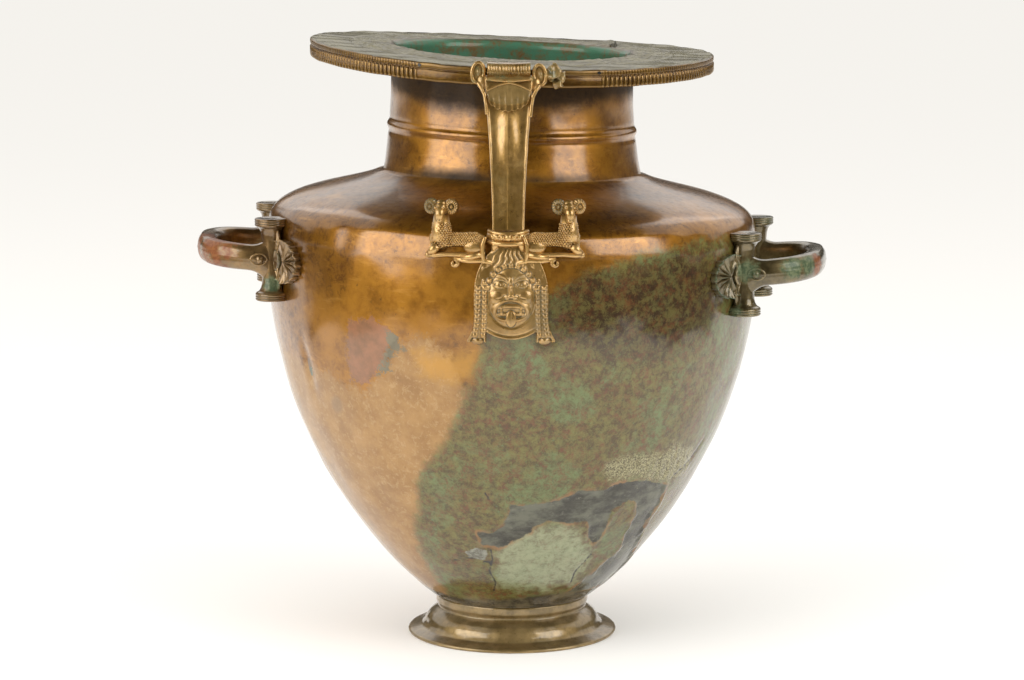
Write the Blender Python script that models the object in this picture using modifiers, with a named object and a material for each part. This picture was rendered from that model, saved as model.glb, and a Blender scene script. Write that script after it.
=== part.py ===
"""Archaic bronze hydria: a hammered water jar with a cast mouth, foot and three cast handles.

Metres, +Z up. The origin is the centre of the foot on the ground. The vertical handle with the
mask faces -Y, and the two side handles lie at -X (left) and +X (right).
"""

from math import atan2, cos, pi, radians, sin, sqrt

import bmesh
import bpy
from mathutils import Matrix, Vector

# Sheet body
WALL = 0.0015
SEAT_RADIUS = 0.0554
BELLY_RADIUS = 0.1745
BELLY_HEIGHT = 0.2762
SHOULDER_TOP = 0.3345
NECK_BASE_RADIUS = 0.0922
NECK_RADIUS = 0.0858
NECK_RING_HEIGHT = 0.3664
NECK_RING_PROUD = 0.0014
NECK_RING_WIDTH = 0.0056
FLOOR_DISH = 0.003

# Foot
FOOT_RADIUS = 0.0756
FOOT_HEIGHT = 0.0277
FOOT_EDGE = 0.0022
FOOT_RING_WIDTH = 0.0105
FOOT_SHELL = 0.0045

# Mouth
MOUTH_RADIUS = 0.1433
MOUTH_TOP = 0.4221
MOUTH_PLATE = 0.005
OPENING_RADIUS = 0.081
COLLAR_DEPTH = 0.014
BAND_HEIGHT = 0.0126
BAND_THICKNESS = 0.007
FILLET_HEIGHT = 0.0038
TONGUE_HEIGHT = 0.0078
TONGUE_PITCH = 0.0072
TONGUE_DEPTH = 0.0014
PLAIN_SECTOR = radians(25.5)

# How far the old vessel leans and its mouth warps
MOUTH_LEAN = 0.045
LEAN_START = 0.12
LEAN_POWER = 1.8
MOUTH_PITCH = 0.028
MOUTH_SADDLE = 0.0022

# Vertical handle
STRAP_TOP_WIDTH = 0.033
STRAP_WIDTH = 0.0215
STRAP_THICKNESS = 0.0085
STRAP_BOW = 0.0096
STRAP_BASE_HEIGHT = 0.311
HEAD_WIDTH = 0.028
HEAD_HEIGHT = 0.0125
HEAD_DEPTH = 0.0105
HEAD_LAP = 0.007
HEAD_ABOVE_MOUTH = 0.005
BOSS_SPREAD = 0.0206
BOSS_HEIGHT = 0.0175
BOSS_WIDTH = 0.0108
MASK_BOTTOM = 0.2385
MASK_HEIGHT = 0.0635
MASK_WIDTH = 0.048
MASK_PLATE = 0.0026
MASK_SHIFT = 0.0018
FACE_WIDTH = 0.031
FACE_HEIGHT = 0.039
FACE_PROUD = 0.0056
LOCK_RADIUS = 0.003
RAM_HEIGHT = 0.3025
RAM_START = 0.012
RAM_LENGTH = 0.04
RAM_SHIFT = -0.0023
RAM_GIRTH = 0.0135
RAM_HEAD_HEIGHT = 0.3245

# Side handles
SIDE_HANDLE_LEFT_HEIGHT = 0.2793
SIDE_HANDLE_RIGHT_HEIGHT = 0.2707
SIDE_HANDLE_LEFT_TURN = radians(5)
SIDE_HANDLE_RIGHT_TURN = radians(8.4)
SPOOL_SPACING = 0.1075
SPOOL_LENGTH = 0.0585
SPOOL_DISC_RADIUS = 0.0115
SPOOL_DISC_THICKNESS = 0.0055
SPOOL_WAIST_RADIUS = 0.0062
SPOOL_STANDOFF = 0.005
LOOP_OUT = 0.0497
LOOP_BAR_WIDTH = 0.0142
LOOP_BAR_HEIGHT = 0.0185
LOOP_LIFT = 0.004
FAN_START = 0.008
FAN_LENGTH = 0.031
FAN_HEIGHT = 0.029
FAN_THICKNESS = 0.0038
FAN_PETALS = 9
LEG_BOSS = 0.0075

# Clearance between touching pieces, and facets
GAP = 0.0003
SEGMENTS = 32
SPOOL_SEGMENTS = 10
BELLY_ROWS = 6
SHOULDER_ROWS = 5
STRAP_ROWS = 8

# Shape of the belly and shoulder curves
BELLY_FULLNESS = 2.05
BELLY_SPREAD = 0.877
SHOULDER_FLATNESS = 6.2
SHOULDER_SPREAD = 5.0
SHOULDER_REACH = 0.885
NECK_SWEEP = 2.6

BODY_BOTTOM = FOOT_HEIGHT + GAP
NECK_TOP = MOUTH_TOP - MOUTH_PLATE - GAP
SHOULDER_SPAN = (SHOULDER_TOP - BELLY_HEIGHT) / SHOULDER_REACH
BAND_BOTTOM = MOUTH_TOP - BAND_HEIGHT
LOOP_REACH = BELLY_RADIUS + LOOP_OUT
TONGUE_TOP = MOUTH_TOP - FILLET_HEIGHT - 0.0005
TONGUE_BOTTOM = TONGUE_TOP - TONGUE_HEIGHT

BRONZE = (0.42, 0.29, 0.13)
DARK_BRONZE = (0.27, 0.2, 0.1)
GREEN_BRONZE = (0.3, 0.27, 0.15)


def clear_scene():
    for item in list(bpy.data.objects):
        bpy.data.objects.remove(item)


def new_collection(name):
    collection = bpy.data.collections.new(name)
    bpy.context.scene.collection.children.link(collection)
    return collection


def bronze(name, colour, roughness):
    material = bpy.data.materials.new(name)
    material.use_nodes = True
    shader = material.node_tree.nodes["Principled BSDF"]
    shader.inputs["Base Color"].default_value = (*colour, 1)
    shader.inputs["Metallic"].default_value = 0.9
    shader.inputs["Roughness"].default_value = roughness
    return material


# The warp of the whole vessel

def smooth_step(value):
    value = min(max(value, 0), 1)
    return value * value * (3 - 2 * value)


def warped(x, y, z):
    """Height of a point once the leaning body and the warped mouth are allowed for."""
    rise = min(max((z - LEAN_START) / (MOUTH_TOP - LEAN_START), 0), 1)
    lean = MOUTH_LEAN * rise ** LEAN_POWER
    ramp = smooth_step((z - SHOULDER_TOP) / (BAND_BOTTOM - SHOULDER_TOP))
    saddle = MOUTH_SADDLE * (x * x - y * y) / MOUTH_RADIUS ** 2
    return z - lean * x + ramp * (MOUTH_PITCH * y + saddle)


def warp_mesh(mesh):
    for vertex in mesh.vertices:
        x, y, z = vertex.co
        vertex.co.z = warped(x, y, z)


# Building helpers

def link(name, mesh, collection):
    item = bpy.data.objects.new(name, mesh)
    collection.objects.link(item)
    return item


def bake(item):
    """Replace the object's mesh with its evaluated mesh and drop the modifiers."""
    graph = bpy.context.evaluated_depsgraph_get()
    mesh = bpy.data.meshes.new_from_object(item.evaluated_get(graph))
    item.modifiers.clear()
    item.data = mesh
    return item


def turned(name, outline, collection, closed=False, thickness=0, segments=SEGMENTS):
    """Turn an outline of (radius, height) about Z. An open outline runs top to bottom outside."""
    count = len(outline)
    edges = [(i, (i + 1) % count) for i in range(count if closed else count - 1)]
    mesh = bpy.data.meshes.new(name)
    mesh.from_pydata([(radius, 0, height) for radius, height in outline], edges, [])
    item = link(name, mesh, collection)
    screw = item.modifiers.new("turn", "SCREW")
    screw.angle = 2 * pi
    screw.steps = segments
    screw.render_steps = segments
    screw.use_merge_vertices = True
    screw.merge_threshold = 0.00001
    if thickness:
        shell = item.modifiers.new("wall", "SOLIDIFY")
        shell.thickness = thickness
        shell.offset = -1
        shell.use_even_offset = True
    return bake(item)


def fuse(item, pieces):
    """Boolean the pieces into the item, all at once, and remove them."""
    group = bpy.data.collections.new("fused")
    for piece in pieces:
        group.objects.link(piece)
    boolean = item.modifiers.new("fuse", "BOOLEAN")
    boolean.operation = "UNION"
    boolean.solver = "EXACT"
    boolean.operand_type = "COLLECTION"
    boolean.collection = group
    bake(item)
    for piece in pieces:
        bpy.data.objects.remove(piece)
    bpy.data.collections.remove(group)
    return item


def from_bmesh(name, shape, collection):
    bmesh.ops.recalc_face_normals(shape, faces=shape.faces)
    mesh = bpy.data.meshes.new(name)
    shape.to_mesh(mesh)
    shape.free()
    return link(name, mesh, collection)


def ball(centre, size, collection, rings=5, segments=8, turn=None):
    """Ellipsoid of the given full sizes along its own axes, turned by the given matrix."""
    shape = bmesh.new()
    bmesh.ops.create_uvsphere(shape, u_segments=segments, v_segments=rings, radius=0.5)
    place = Matrix.Translation(centre) @ (turn or Matrix()) @ Matrix.Diagonal((*size, 1))
    bmesh.ops.transform(shape, matrix=place, verts=shape.verts)
    return from_bmesh("ball", shape, collection)


def peg(start, end, start_radius, end_radius, collection, segments=7):
    """Round tapered peg from one point to another."""
    start, end = Vector(start), Vector(end)
    run = end - start
    shape = bmesh.new()
    bmesh.ops.create_cone(shape, cap_ends=True, segments=segments, radius1=start_radius,
                          radius2=end_radius, depth=run.length)
    turn = run.to_track_quat("Z", "Y").to_matrix().to_4x4()
    bmesh.ops.transform(shape, matrix=Matrix.Translation((start + end) / 2) @ turn, verts=shape.verts)
    return from_bmesh("peg", shape, collection)


def curve_mesh(name, curve, collection):
    """Closed mesh object of a curve, with its caps welded on."""
    guide = link(name + "_curve", curve, collection)
    graph = bpy.context.evaluated_depsgraph_get()
    item = link(name, bpy.data.meshes.new_from_object(guide.evaluated_get(graph)), collection)
    item.matrix_world = guide.matrix_world.copy()
    bpy.data.objects.remove(guide)
    shape = bmesh.new()
    shape.from_mesh(item.data)
    bmesh.ops.remove_doubles(shape, verts=shape.verts, dist=0.00001)
    bmesh.ops.recalc_face_normals(shape, faces=shape.faces)
    shape.to_mesh(item.data)
    shape.free()
    return item


def loft(name, stations, collection):
    """Closed solid through a list of rings that all have the same number of points."""
    shape = bmesh.new()
    rings = [[shape.verts.new(point) for point in station] for station in stations]
    count = len(rings[0])
    for upper, lower in zip(rings, rings[1:]):
        for i in range(count):
            j = (i + 1) % count
            shape.faces.new((upper[i], upper[j], lower[j], lower[i]))
    shape.faces.new(rings[0])
    shape.faces.new(rings[-1])
    return from_bmesh(name, shape, collection)


def finish(item, material):
    """Set the material and shade the rounded surfaces smooth."""
    item.data.materials.clear()
    item.data.materials.append(material)
    item.data.shade_smooth()
    item.data.set_sharp_from_angle(angle=radians(35))
    return item


# Sheet body

def belly_radius(height):
    """Outer radius of the belly from its seat on the foot up to its widest height."""
    share = (height - BODY_BOTTOM) / (BELLY_HEIGHT - BODY_BOTTOM)
    curve = (1 - (1 - share) ** BELLY_FULLNESS) ** BELLY_SPREAD
    return SEAT_RADIUS + (BELLY_RADIUS - SEAT_RADIUS) * curve


def shoulder_radius(height):
    share = (height - BELLY_HEIGHT) / SHOULDER_SPAN
    curve = (1 - share ** SHOULDER_FLATNESS) ** SHOULDER_SPREAD
    return NECK_BASE_RADIUS + (BELLY_RADIUS - NECK_BASE_RADIUS) * curve


def neck_radius(height):
    share = (height - SHOULDER_TOP) / (NECK_TOP - SHOULDER_TOP)
    return NECK_RADIUS + (NECK_BASE_RADIUS - NECK_RADIUS) * (1 - share) ** NECK_SWEEP


def wall_radius(height):
    """Outer radius of the sheet at a height, before the vessel's lean."""
    if height < BELLY_HEIGHT:
        return belly_radius(height)
    if height < SHOULDER_TOP:
        return shoulder_radius(height)
    return neck_radius(height)


def body_outline():
    """Outer outline of the sheet from the neck's top to the middle of the floor."""
    ring_half = NECK_RING_WIDTH / 2
    ring = NECK_RING_HEIGHT
    heights = [NECK_TOP, ring + ring_half, ring - ring_half]
    points = [(neck_radius(height), height) for height in heights]
    points.insert(2, (neck_radius(ring) + NECK_RING_PROUD, ring))
    foot_of_neck = SHOULDER_TOP + WALL
    points.append((neck_radius(foot_of_neck), foot_of_neck))
    for row in range(SHOULDER_ROWS, 0, -1):
        share = 1 - (1 - row / SHOULDER_ROWS) ** 1.6
        height = BELLY_HEIGHT + (SHOULDER_TOP - BELLY_HEIGHT) * share
        points.append((shoulder_radius(height), height))
    for row in range(BELLY_ROWS, -1, -1):
        share = 1 - cos(pi / 2 * row / BELLY_ROWS)
        height = BODY_BOTTOM + (BELLY_HEIGHT - BODY_BOTTOM) * share
        points.append((belly_radius(height), height))
    inside_foot = FOOT_RADIUS - FOOT_RING_WIDTH - 0.02
    points.append((inside_foot, BODY_BOTTOM))
    points.append((0, BODY_BOTTOM - FLOOR_DISH))
    return points


def make_body(collection):
    body = turned("body", body_outline(), collection, thickness=WALL)
    warp_mesh(body.data)
    return finish(body, bronze("body_bronze", BRONZE, 0.4))


def body_envelope(cutters):
    """Solid of the body's outside grown by the clearance, to cut what is fixed to it."""
    outline = [(radius + GAP, height) for radius, height in body_outline() if radius > 0]
    outline.insert(0, (0, outline[0][1]))
    outline.append((0, outline[-1][1]))
    envelope = turned("body_envelope", outline, cutters)
    warp_mesh(envelope.data)
    return mark_cutter(envelope)


def mark_cutter(item):
    item.hide_render = True
    item.display_type = "WIRE"
    return item


# Foot

def foot_outline():
    """Closed outline of the ring foot, down the outside and up the hollow."""
    seat = SEAT_RADIUS - 0.0008
    step = FOOT_HEIGHT - FOOT_EDGE
    outside = [
        (seat, FOOT_HEIGHT),
        (seat, FOOT_EDGE + step * 0.76),
        (seat - 0.0015, FOOT_EDGE + step * 0.66),
        (seat + 0.0015, FOOT_EDGE + step * 0.55),
        (seat + 0.0068, FOOT_EDGE + step * 0.38),
        (seat + 0.0095, FOOT_EDGE + step * 0.16),
        (FOOT_RADIUS - 0.0065, FOOT_EDGE * 1.6),
        (FOOT_RADIUS, FOOT_EDGE),
        (FOOT_RADIUS - 0.0004, 0),
    ]
    hollow = FOOT_RADIUS - FOOT_RING_WIDTH
    inside = [
        (hollow, 0),
        (hollow - FOOT_SHELL, FOOT_EDGE * 2),
        (seat - FOOT_SHELL, FOOT_EDGE + step * 0.6),
        (seat - FOOT_SHELL * 2, FOOT_HEIGHT),
    ]
    return outside + inside


def make_foot(collection):
    foot = turned("foot", foot_outline(), collection, closed=True)
    return finish(foot, bronze("foot_bronze", DARK_BRONZE, 0.35))


# Mouth

def mouth_outline():
    """Outline of the turned part of the mouth, from below the tongues round to above them."""
    collar_radius = NECK_RADIUS - WALL - GAP
    behind_tongues = MOUTH_RADIUS - TONGUE_DEPTH * 2
    edge = MOUTH_RADIUS - 0.0005
    under = MOUTH_TOP - MOUTH_PLATE
    band_inside = MOUTH_RADIUS - BAND_THICKNESS
    return [
        (behind_tongues, TONGUE_BOTTOM),
        (band_inside + 0.001, BAND_BOTTOM),
        (band_inside, BAND_BOTTOM + 0.001),
        (band_inside - 0.004, under),
        (collar_radius, under),
        (collar_radius, under - COLLAR_DEPTH),
        (OPENING_RADIUS + 0.0012, under - COLLAR_DEPTH),
        (OPENING_RADIUS, MOUTH_TOP - 0.003),
        (OPENING_RADIUS + 0.003, MOUTH_TOP),
        (edge, MOUTH_TOP),
        (edge, MOUTH_TOP - FILLET_HEIGHT),
        (behind_tongues, TONGUE_TOP),
    ]


def tongue_outline():
    """Plan of the tongued band: ribs all round except the plain sector at the vertical handle."""
    count = round(2 * pi * MOUTH_RADIUS / TONGUE_PITCH)
    step = 2 * pi / count
    points = []
    for rib in range(count):
        for share, radius in ((0, MOUTH_RADIUS - TONGUE_DEPTH), (0.5, MOUTH_RADIUS)):
            angle = (rib + share) * step
            from_front = abs(atan2(sin(angle + pi / 2), cos(angle + pi / 2)))
            if from_front < PLAIN_SECTOR:
                if share or rib % 2:
                    continue
                radius = MOUTH_RADIUS - TONGUE_DEPTH / 3
            points.append((radius * cos(angle), radius * sin(angle)))
    return points


def make_mouth(collection):
    """The turned plate and collar, closed by the band of tongues round its edge."""
    mouth = turned("mouth", mouth_outline(), collection)
    shape = bmesh.new()
    shape.from_mesh(mouth.data)
    open_edges = [edge for edge in shape.edges if edge.is_boundary]
    levels = (TONGUE_TOP, TONGUE_BOTTOM)
    upper, lower = [[shape.verts.new((x, y, level)) for x, y in tongue_outline()] for level in levels]
    for i in range(len(upper)):
        shape.faces.new((upper[i - 1], lower[i - 1], lower[i], upper[i]))
    for ring, level in ((upper, TONGUE_TOP), (lower, TONGUE_BOTTOM)):
        outer = [shape.edges.get((ring[i - 1], ring[i])) for i in range(len(ring))]
        inner = [edge for edge in open_edges if abs(edge.verts[0].co.z - level) < GAP / 3]
        bmesh.ops.triangle_fill(shape, edges=outer + inner, use_beauty=True, normal=(0, 0, 1))
    bmesh.ops.recalc_face_normals(shape, faces=shape.faces)
    shape.to_mesh(mouth.data)
    shape.free()
    warp_mesh(mouth.data)
    return finish(mouth, bronze("mouth_bronze", DARK_BRONZE, 0.45))


def mouth_envelope(cutters):
    """Solid of the mouth's outside grown by the clearance."""
    outer = (MOUTH_RADIUS + GAP) / cos(pi / SEGMENTS)
    above = MOUTH_TOP + GAP
    below = BAND_BOTTOM - GAP
    outline = [(0, above), (outer, above), (outer, below), (0, below)]
    envelope = turned("mouth_envelope", outline, cutters)
    warp_mesh(envelope.data)
    return mark_cutter(envelope)


# Vertical handle

def mouth_front_height():
    return warped(0, -MOUTH_RADIUS, MOUTH_TOP)


def strap_ends():
    top = (-(MOUTH_RADIUS + STRAP_THICKNESS * 0.35), mouth_front_height() - 0.004)
    base = (-(wall_radius(STRAP_BASE_HEIGHT) + 0.0045), STRAP_BASE_HEIGHT)
    return top, base


def strap_station(share):
    """Ring of points round the strap at a share of its way from the mouth to the shoulder."""
    top, base = strap_ends()
    y = top[0] + (base[0] - top[0]) * share - STRAP_BOW * share ** 0.3 * (1 - share) ** 1.5
    z = top[1] + (base[1] - top[1]) * share
    half = (STRAP_WIDTH + (STRAP_TOP_WIDTH - STRAP_WIDTH) * (1 - share) ** 1.6) / 2
    back = STRAP_THICKNESS / 2
    ring = []
    for step in range(9):
        across = -1 + step / 4
        depth = STRAP_THICKNESS * (0.86 + 0.14 * cos(pi * across) ** 2)
        ring.append((across * half, y + back - depth, z))
    ring.append((half * 0.72, y + back, z))
    ring.append((-half * 0.72, y + back, z))
    return ring


def wall_point(angle, height, proud):
    """Point at an angle about Z and a height, standing proud of the sheet."""
    radius = wall_radius(height) + proud
    return (radius * cos(angle), radius * sin(angle), height)


def on_wall(across, height, proud):
    """Point on the front wall: a distance across it, a height, and how far it stands out."""
    return wall_point(across / wall_radius(height) - pi / 2, height, proud)


def mask_half_width(share):
    """Half width of the mask at a share of its height: a domed head, straight locks, flared ends."""
    dome = sqrt(max(0, 1 - max(0, (share - 0.5) / 0.52) ** 2))
    flare = 0.16 * max(0, 1 - share / 0.16) ** 1.3
    return MASK_WIDTH / 2 * (dome * (0.97 + 0.04 * (1 - share)) + flare)


def mask_plate(cutters):
    """Backing of the gorgon mask, wrapped onto the wall."""
    rows = 9
    stations = []
    for row in range(rows + 1):
        share = row / rows
        height = MASK_BOTTOM + MASK_HEIGHT * share
        half = mask_half_width(share)
        front = [on_wall(MASK_SHIFT + half * across, height, MASK_PLATE) for across in (-1, -0.4, 0.4, 1)]
        back = [on_wall(MASK_SHIFT + half * across, height, -MASK_PLATE) for across in (1, -1)]
        stations.append(front + back)
    return loft("mask_plate", stations, cutters)


def mask_face(cutters):
    """Face, features, hair and locks of the gorgon."""

    def spot(across, share, proud):
        return on_wall(MASK_SHIFT + across * MASK_WIDTH / 2, MASK_BOTTOM + MASK_HEIGHT * share, proud)

    depth = 0.013
    face = spot(0, 0.46, FACE_PROUD - depth / 2)
    grin = spot(0, 0.32, FACE_PROUD - 0.0016)
    tongue = spot(0, 0.235, FACE_PROUD - 0.0024)
    bridge = spot(0, 0.6, FACE_PROUD - 0.0012)
    nostrils = spot(0, 0.435, FACE_PROUD - 0.0009)
    pieces = [
        ball(face, (FACE_WIDTH, depth, FACE_HEIGHT), cutters, rings=6, segments=10),
        ball(grin, (FACE_WIDTH * 0.74, 0.0048, 0.0125), cutters),
        ball(tongue, (0.0065, 0.0052, 0.0085), cutters, rings=4, segments=6),
        peg(bridge, nostrils, 0.0014, 0.0023, cutters, 6),
    ]
    for side in (-1, 1):
        eye = spot(side * 0.3, 0.56, FACE_PROUD - 0.0022)
        pieces.append(ball(eye, (0.0088, 0.0045, 0.0048), cutters, rings=4, segments=6))
        brow = spot(side * 0.07, 0.625, FACE_PROUD - 0.0014)
        temple = spot(side * 0.52, 0.61, FACE_PROUD - 0.0036)
        pieces.append(peg(brow, temple, 0.0011, 0.0009, cutters, 5))
        for inner, outer in ((0.7, 0.79), (0.88, 1.06)):
            pieces.append(peg(spot(side * inner, 0.66, 0.0008), spot(side * outer, 0.015, 0.0008),
                              LOCK_RADIUS, LOCK_RADIUS * 0.95, cutters, 6))
    for strand in range(5):
        across = (strand - 2) / 2
        tip = spot(across * 0.66, 0.82 - 0.1 * across ** 2, 0.0018)
        pieces.append(peg(spot(across * 0.25, 1.0, 0.0006), tip, 0.0022, 0.0028, cutters, 6))
    return pieces


def along_wall(across, height, proud):
    """Point in front of the belly wall at its widest, so that a figure above it stands upright."""
    radius = wall_radius(RAM_HEIGHT) + proud
    across += RAM_SHIFT
    return (across, -sqrt(radius ** 2 - across ** 2), height)


def ram_pieces(side, cutters):
    """A recumbent ram whose back end is at the collar and whose head looks out."""
    start = RAM_START
    end = RAM_START + RAM_LENGTH
    level = RAM_HEIGHT
    head = RAM_HEAD_HEIGHT
    head_at = side * (end - 0.01)
    middle = side * (start + end) / 2
    tilt = Matrix.Rotation(middle / BELLY_RADIUS, 4, "Z")
    trunk = (RAM_LENGTH + RAM_GIRTH * 0.4, RAM_GIRTH * 0.85, RAM_GIRTH)
    hock = along_wall(middle, level - 0.0112, 0.0025)
    hip = along_wall(side * (start + 0.004), level - 0.008, 0.0025)
    knee = along_wall(side * (end - 0.0005), level - 0.0065, 0.003)
    rump = along_wall(side * (start + 0.006), level - 0.0005, 0.003)
    pieces = [
        ball(along_wall(middle, level + 0.001, 0.0015), trunk, cutters, turn=tilt),
        ball(rump, (0.016, 0.009, RAM_GIRTH), cutters, rings=4),
        peg(along_wall(head_at - side * 0.002, level + 0.002, 0.0005), along_wall(head_at, head, 0), 0.0064,
            0.0045, cutters),
        ball(along_wall(head_at, head, 0.0028), (0.0088, 0.0105, 0.0135), cutters, rings=4, segments=7),
        peg(along_wall(head_at, head - 0.0015, 0.0045), along_wall(head_at, head - 0.0075, 0.0062), 0.0036,
            0.0024, cutters, 6),
        peg(knee, along_wall(side * (start + 0.0035), level - 0.0062, 0.0028), 0.0022, 0.0025, cutters, 6),
        peg(along_wall(side * (end - 0.004), level - 0.0015, 0.004), knee, 0.0034, 0.0022, cutters, 6),
        peg(hip, hock, 0.003, 0.0028, cutters, 6),
    ]
    for ear in (-1, 1):
        horn = Vector(along_wall(head_at + ear * 0.0058, head + 0.0015, 0.002))
        out = Vector((ear * 0.35, -1, 0)).normalized() * 0.0026
        pieces.append(peg(horn - out, horn + out, 0.0058, 0.0047, cutters))
    return pieces


def head_block(cutters):
    """The block that clasps the edge of the mouth, with its two bosses and their brackets."""
    top = mouth_front_height() + HEAD_ABOVE_MOUTH
    front = -(MOUTH_RADIUS + HEAD_DEPTH)
    back = -(MOUTH_RADIUS - HEAD_LAP)
    shape = bmesh.new()
    bmesh.ops.create_cube(shape, size=1)
    size = Matrix.Diagonal((HEAD_WIDTH, back - front, HEAD_HEIGHT, 1))
    place = Matrix.Translation((0, (front + back) / 2, top - HEAD_HEIGHT / 2))
    bmesh.ops.transform(shape, matrix=place @ size, verts=shape.verts)
    bmesh.ops.bevel(shape, geom=shape.edges, offset=0.0012, segments=1, affect="EDGES")
    pieces = [from_bmesh("head", shape, cutters)]
    level = top - HEAD_HEIGHT * 0.85
    for side in (-1, 1):
        boss = (side * BOSS_SPREAD, -(MOUTH_RADIUS + 0.003), level)
        lean = Matrix.Rotation(side * -0.2, 4, "Y")
        pieces.append(ball(boss, (BOSS_WIDTH, 0.011, BOSS_HEIGHT), cutters, turn=lean))
        low = (side * STRAP_TOP_WIDTH * 0.4, front + 0.003, level - 0.012)
        high = (side * (BOSS_SPREAD - 0.001), front + 0.0055, level - 0.001)
        pieces.append(peg(low, high, 0.0028, 0.0045, cutters, 7))
    shell = (0, front + 0.0045, level - 0.0075)
    pieces.append(ball(shell, (STRAP_TOP_WIDTH * 0.86, 0.0095, 0.021), cutters, rings=4, segments=9))
    return pieces


def collar(cutters):
    """Moulded collar between the strap and the mask."""
    centre = on_wall(0, STRAP_BASE_HEIGHT - 0.0035, 0.003)
    yoke = on_wall(0, MASK_BOTTOM + MASK_HEIGHT, 0.001)
    return [
        ball(centre, (STRAP_WIDTH * 1.22, 0.0165, 0.0085), cutters, rings=4, segments=9),
        ball(yoke, (STRAP_WIDTH * 1.5, 0.0125, 0.011), cutters, rings=4, segments=9),
    ]


def make_vertical_handle(collection, cutters, envelopes):
    shares = [(step / STRAP_ROWS) ** 1.25 for step in range(STRAP_ROWS + 1)]
    handle = loft("vertical_handle", [strap_station(share) for share in shares], collection)
    pieces = head_block(cutters) + collar(cutters) + [mask_plate(cutters)] + mask_face(cutters)
    pieces += ram_pieces(-1, cutters) + ram_pieces(1, cutters)
    fuse(handle, pieces)
    cut_with(handle, envelopes)
    return finish(handle, bronze("handle_bronze", GREEN_BRONZE, 0.35))


def cut_with(item, envelopes):
    """Cut the item back from the surfaces that it is fixed to."""
    for envelope in envelopes:
        boolean = item.modifiers.new("fit", "BOOLEAN")
        boolean.operation = "DIFFERENCE"
        boolean.solver = "EXACT"
        boolean.use_self = True
        boolean.object = envelope
    return bake(item)


# Side handles

def spool_outline():
    half = SPOOL_LENGTH / 2
    disc = half - SPOOL_DISC_THICKNESS
    upper = [
        (0, half),
        (SPOOL_DISC_RADIUS, half),
        (SPOOL_DISC_RADIUS, disc),
        (SPOOL_WAIST_RADIUS + 0.0022, disc - 0.0028),
        (SPOOL_WAIST_RADIUS, half * 0.42),
    ]
    return upper + [(radius, -height) for radius, height in reversed(upper)]


def spool(place, cutters):
    """Upright spool with a broad disc at each end."""
    item = turned("spool", spool_outline(), cutters, segments=SPOOL_SEGMENTS)
    item.data.transform(Matrix.Translation(place))
    return item


def fan(angle, end, level, cutters):
    """Palmette of ridged petals on the wall that opens away from the bar."""
    radius = wall_radius(level)
    shape = bmesh.new()

    def point(along, up, proud):
        return shape.verts.new(wall_point(angle + end * (FAN_START + along) / radius, level + up, proud))

    heart = point(0, 0, FAN_THICKNESS * 1.6)
    below = point(0, 0, -FAN_THICKNESS)
    middle = FAN_LENGTH * 0.42
    spread = radians(118)
    rim = []
    floor = []
    for step in range(2 * FAN_PETALS + 1):
        turn = -spread + spread * step / FAN_PETALS
        ridge = step % 2
        reach = 1 if ridge else 0.88
        along = middle + (FAN_LENGTH - middle) * reach * cos(turn)
        up = FAN_HEIGHT / 2 * reach * sin(turn)
        rim.append(point(along, up, FAN_THICKNESS * (1 if ridge else 0.5)))
        floor.append(point(along, up, -FAN_THICKNESS))
    for i in range(len(rim) - 1):
        shape.faces.new((heart, rim[i], rim[i + 1]))
        shape.faces.new((below, floor[i + 1], floor[i]))
        shape.faces.new((rim[i], floor[i], floor[i + 1], rim[i + 1]))
    shape.faces.new((heart, below, floor[0], rim[0]))
    shape.faces.new((heart, rim[-1], floor[-1], below))
    return from_bmesh("fan", shape, cutters)


def loop_bar(reach_in, level, cutters):
    """U-shaped bar, taller than wide, from one spool out and back to the other."""
    half = SPOOL_SPACING / 2
    bend = LOOP_REACH - LOOP_BAR_WIDTH / 2 - reach_in
    tall = LOOP_BAR_HEIGHT / LOOP_BAR_WIDTH
    curve = bpy.data.curves.new("loop", "CURVE")
    curve.dimensions = "3D"
    curve.bevel_depth = LOOP_BAR_WIDTH / 2
    curve.bevel_resolution = 2
    curve.use_fill_caps = True
    spline = curve.splines.new("POLY")
    last = 10
    spline.points.add(last)
    for step, point in enumerate(spline.points):
        angle = -pi / 2 + pi * step / last
        out = max(0, cos(angle)) ** 0.62
        along = half * (abs(sin(angle)) ** 0.8) * (1 if angle > 0 else -1)
        point.co = (reach_in + bend * out, along, LOOP_LIFT * out / tall, 1)
    bar = curve_mesh("loop_bar", curve, cutters)
    bar.data.transform(Matrix.Translation((0, 0, level)) @ Matrix.Diagonal((1, 1, tall, 1)))
    return bar


def side_handle(name, angle, level, collection, cutters, envelopes):
    """One side handle, built towards +X and then turned to its place on the body."""
    half = SPOOL_SPACING / 2
    radius = wall_radius(level) + SPOOL_STANDOFF
    reach_in = sqrt(radius ** 2 - half ** 2)
    spool_angle = atan2(half, reach_in)
    handle = loop_bar(reach_in, level, cutters)
    pieces = []
    for end in (-1, 1):
        pieces.append(spool((reach_in, end * half, level), cutters))
        pieces.append(fan(end * spool_angle, end, level, cutters))
        hub = wall_point(end * (spool_angle + FAN_START * 0.75 / radius), level, FAN_THICKNESS * 0.6)
        pieces.append(ball(hub, (0.0105, 0.014, 0.015), cutters, rings=4, segments=7))
        boss = (reach_in + SPOOL_DISC_RADIUS, end * (half + LOOP_BAR_WIDTH * 0.4), level + LOOP_LIFT * 0.4)
        pieces.append(ball(boss, (LEG_BOSS, LEG_BOSS, LEG_BOSS), cutters, rings=4, segments=6))
    fuse(handle, pieces)
    handle.data.transform(Matrix.Rotation(angle, 4, "Z"))
    cut_with(handle, envelopes)
    cutters.objects.unlink(handle)
    collection.objects.link(handle)
    handle.name = name
    return finish(handle, bronze(name + "_bronze", GREEN_BRONZE, 0.35))


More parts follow.
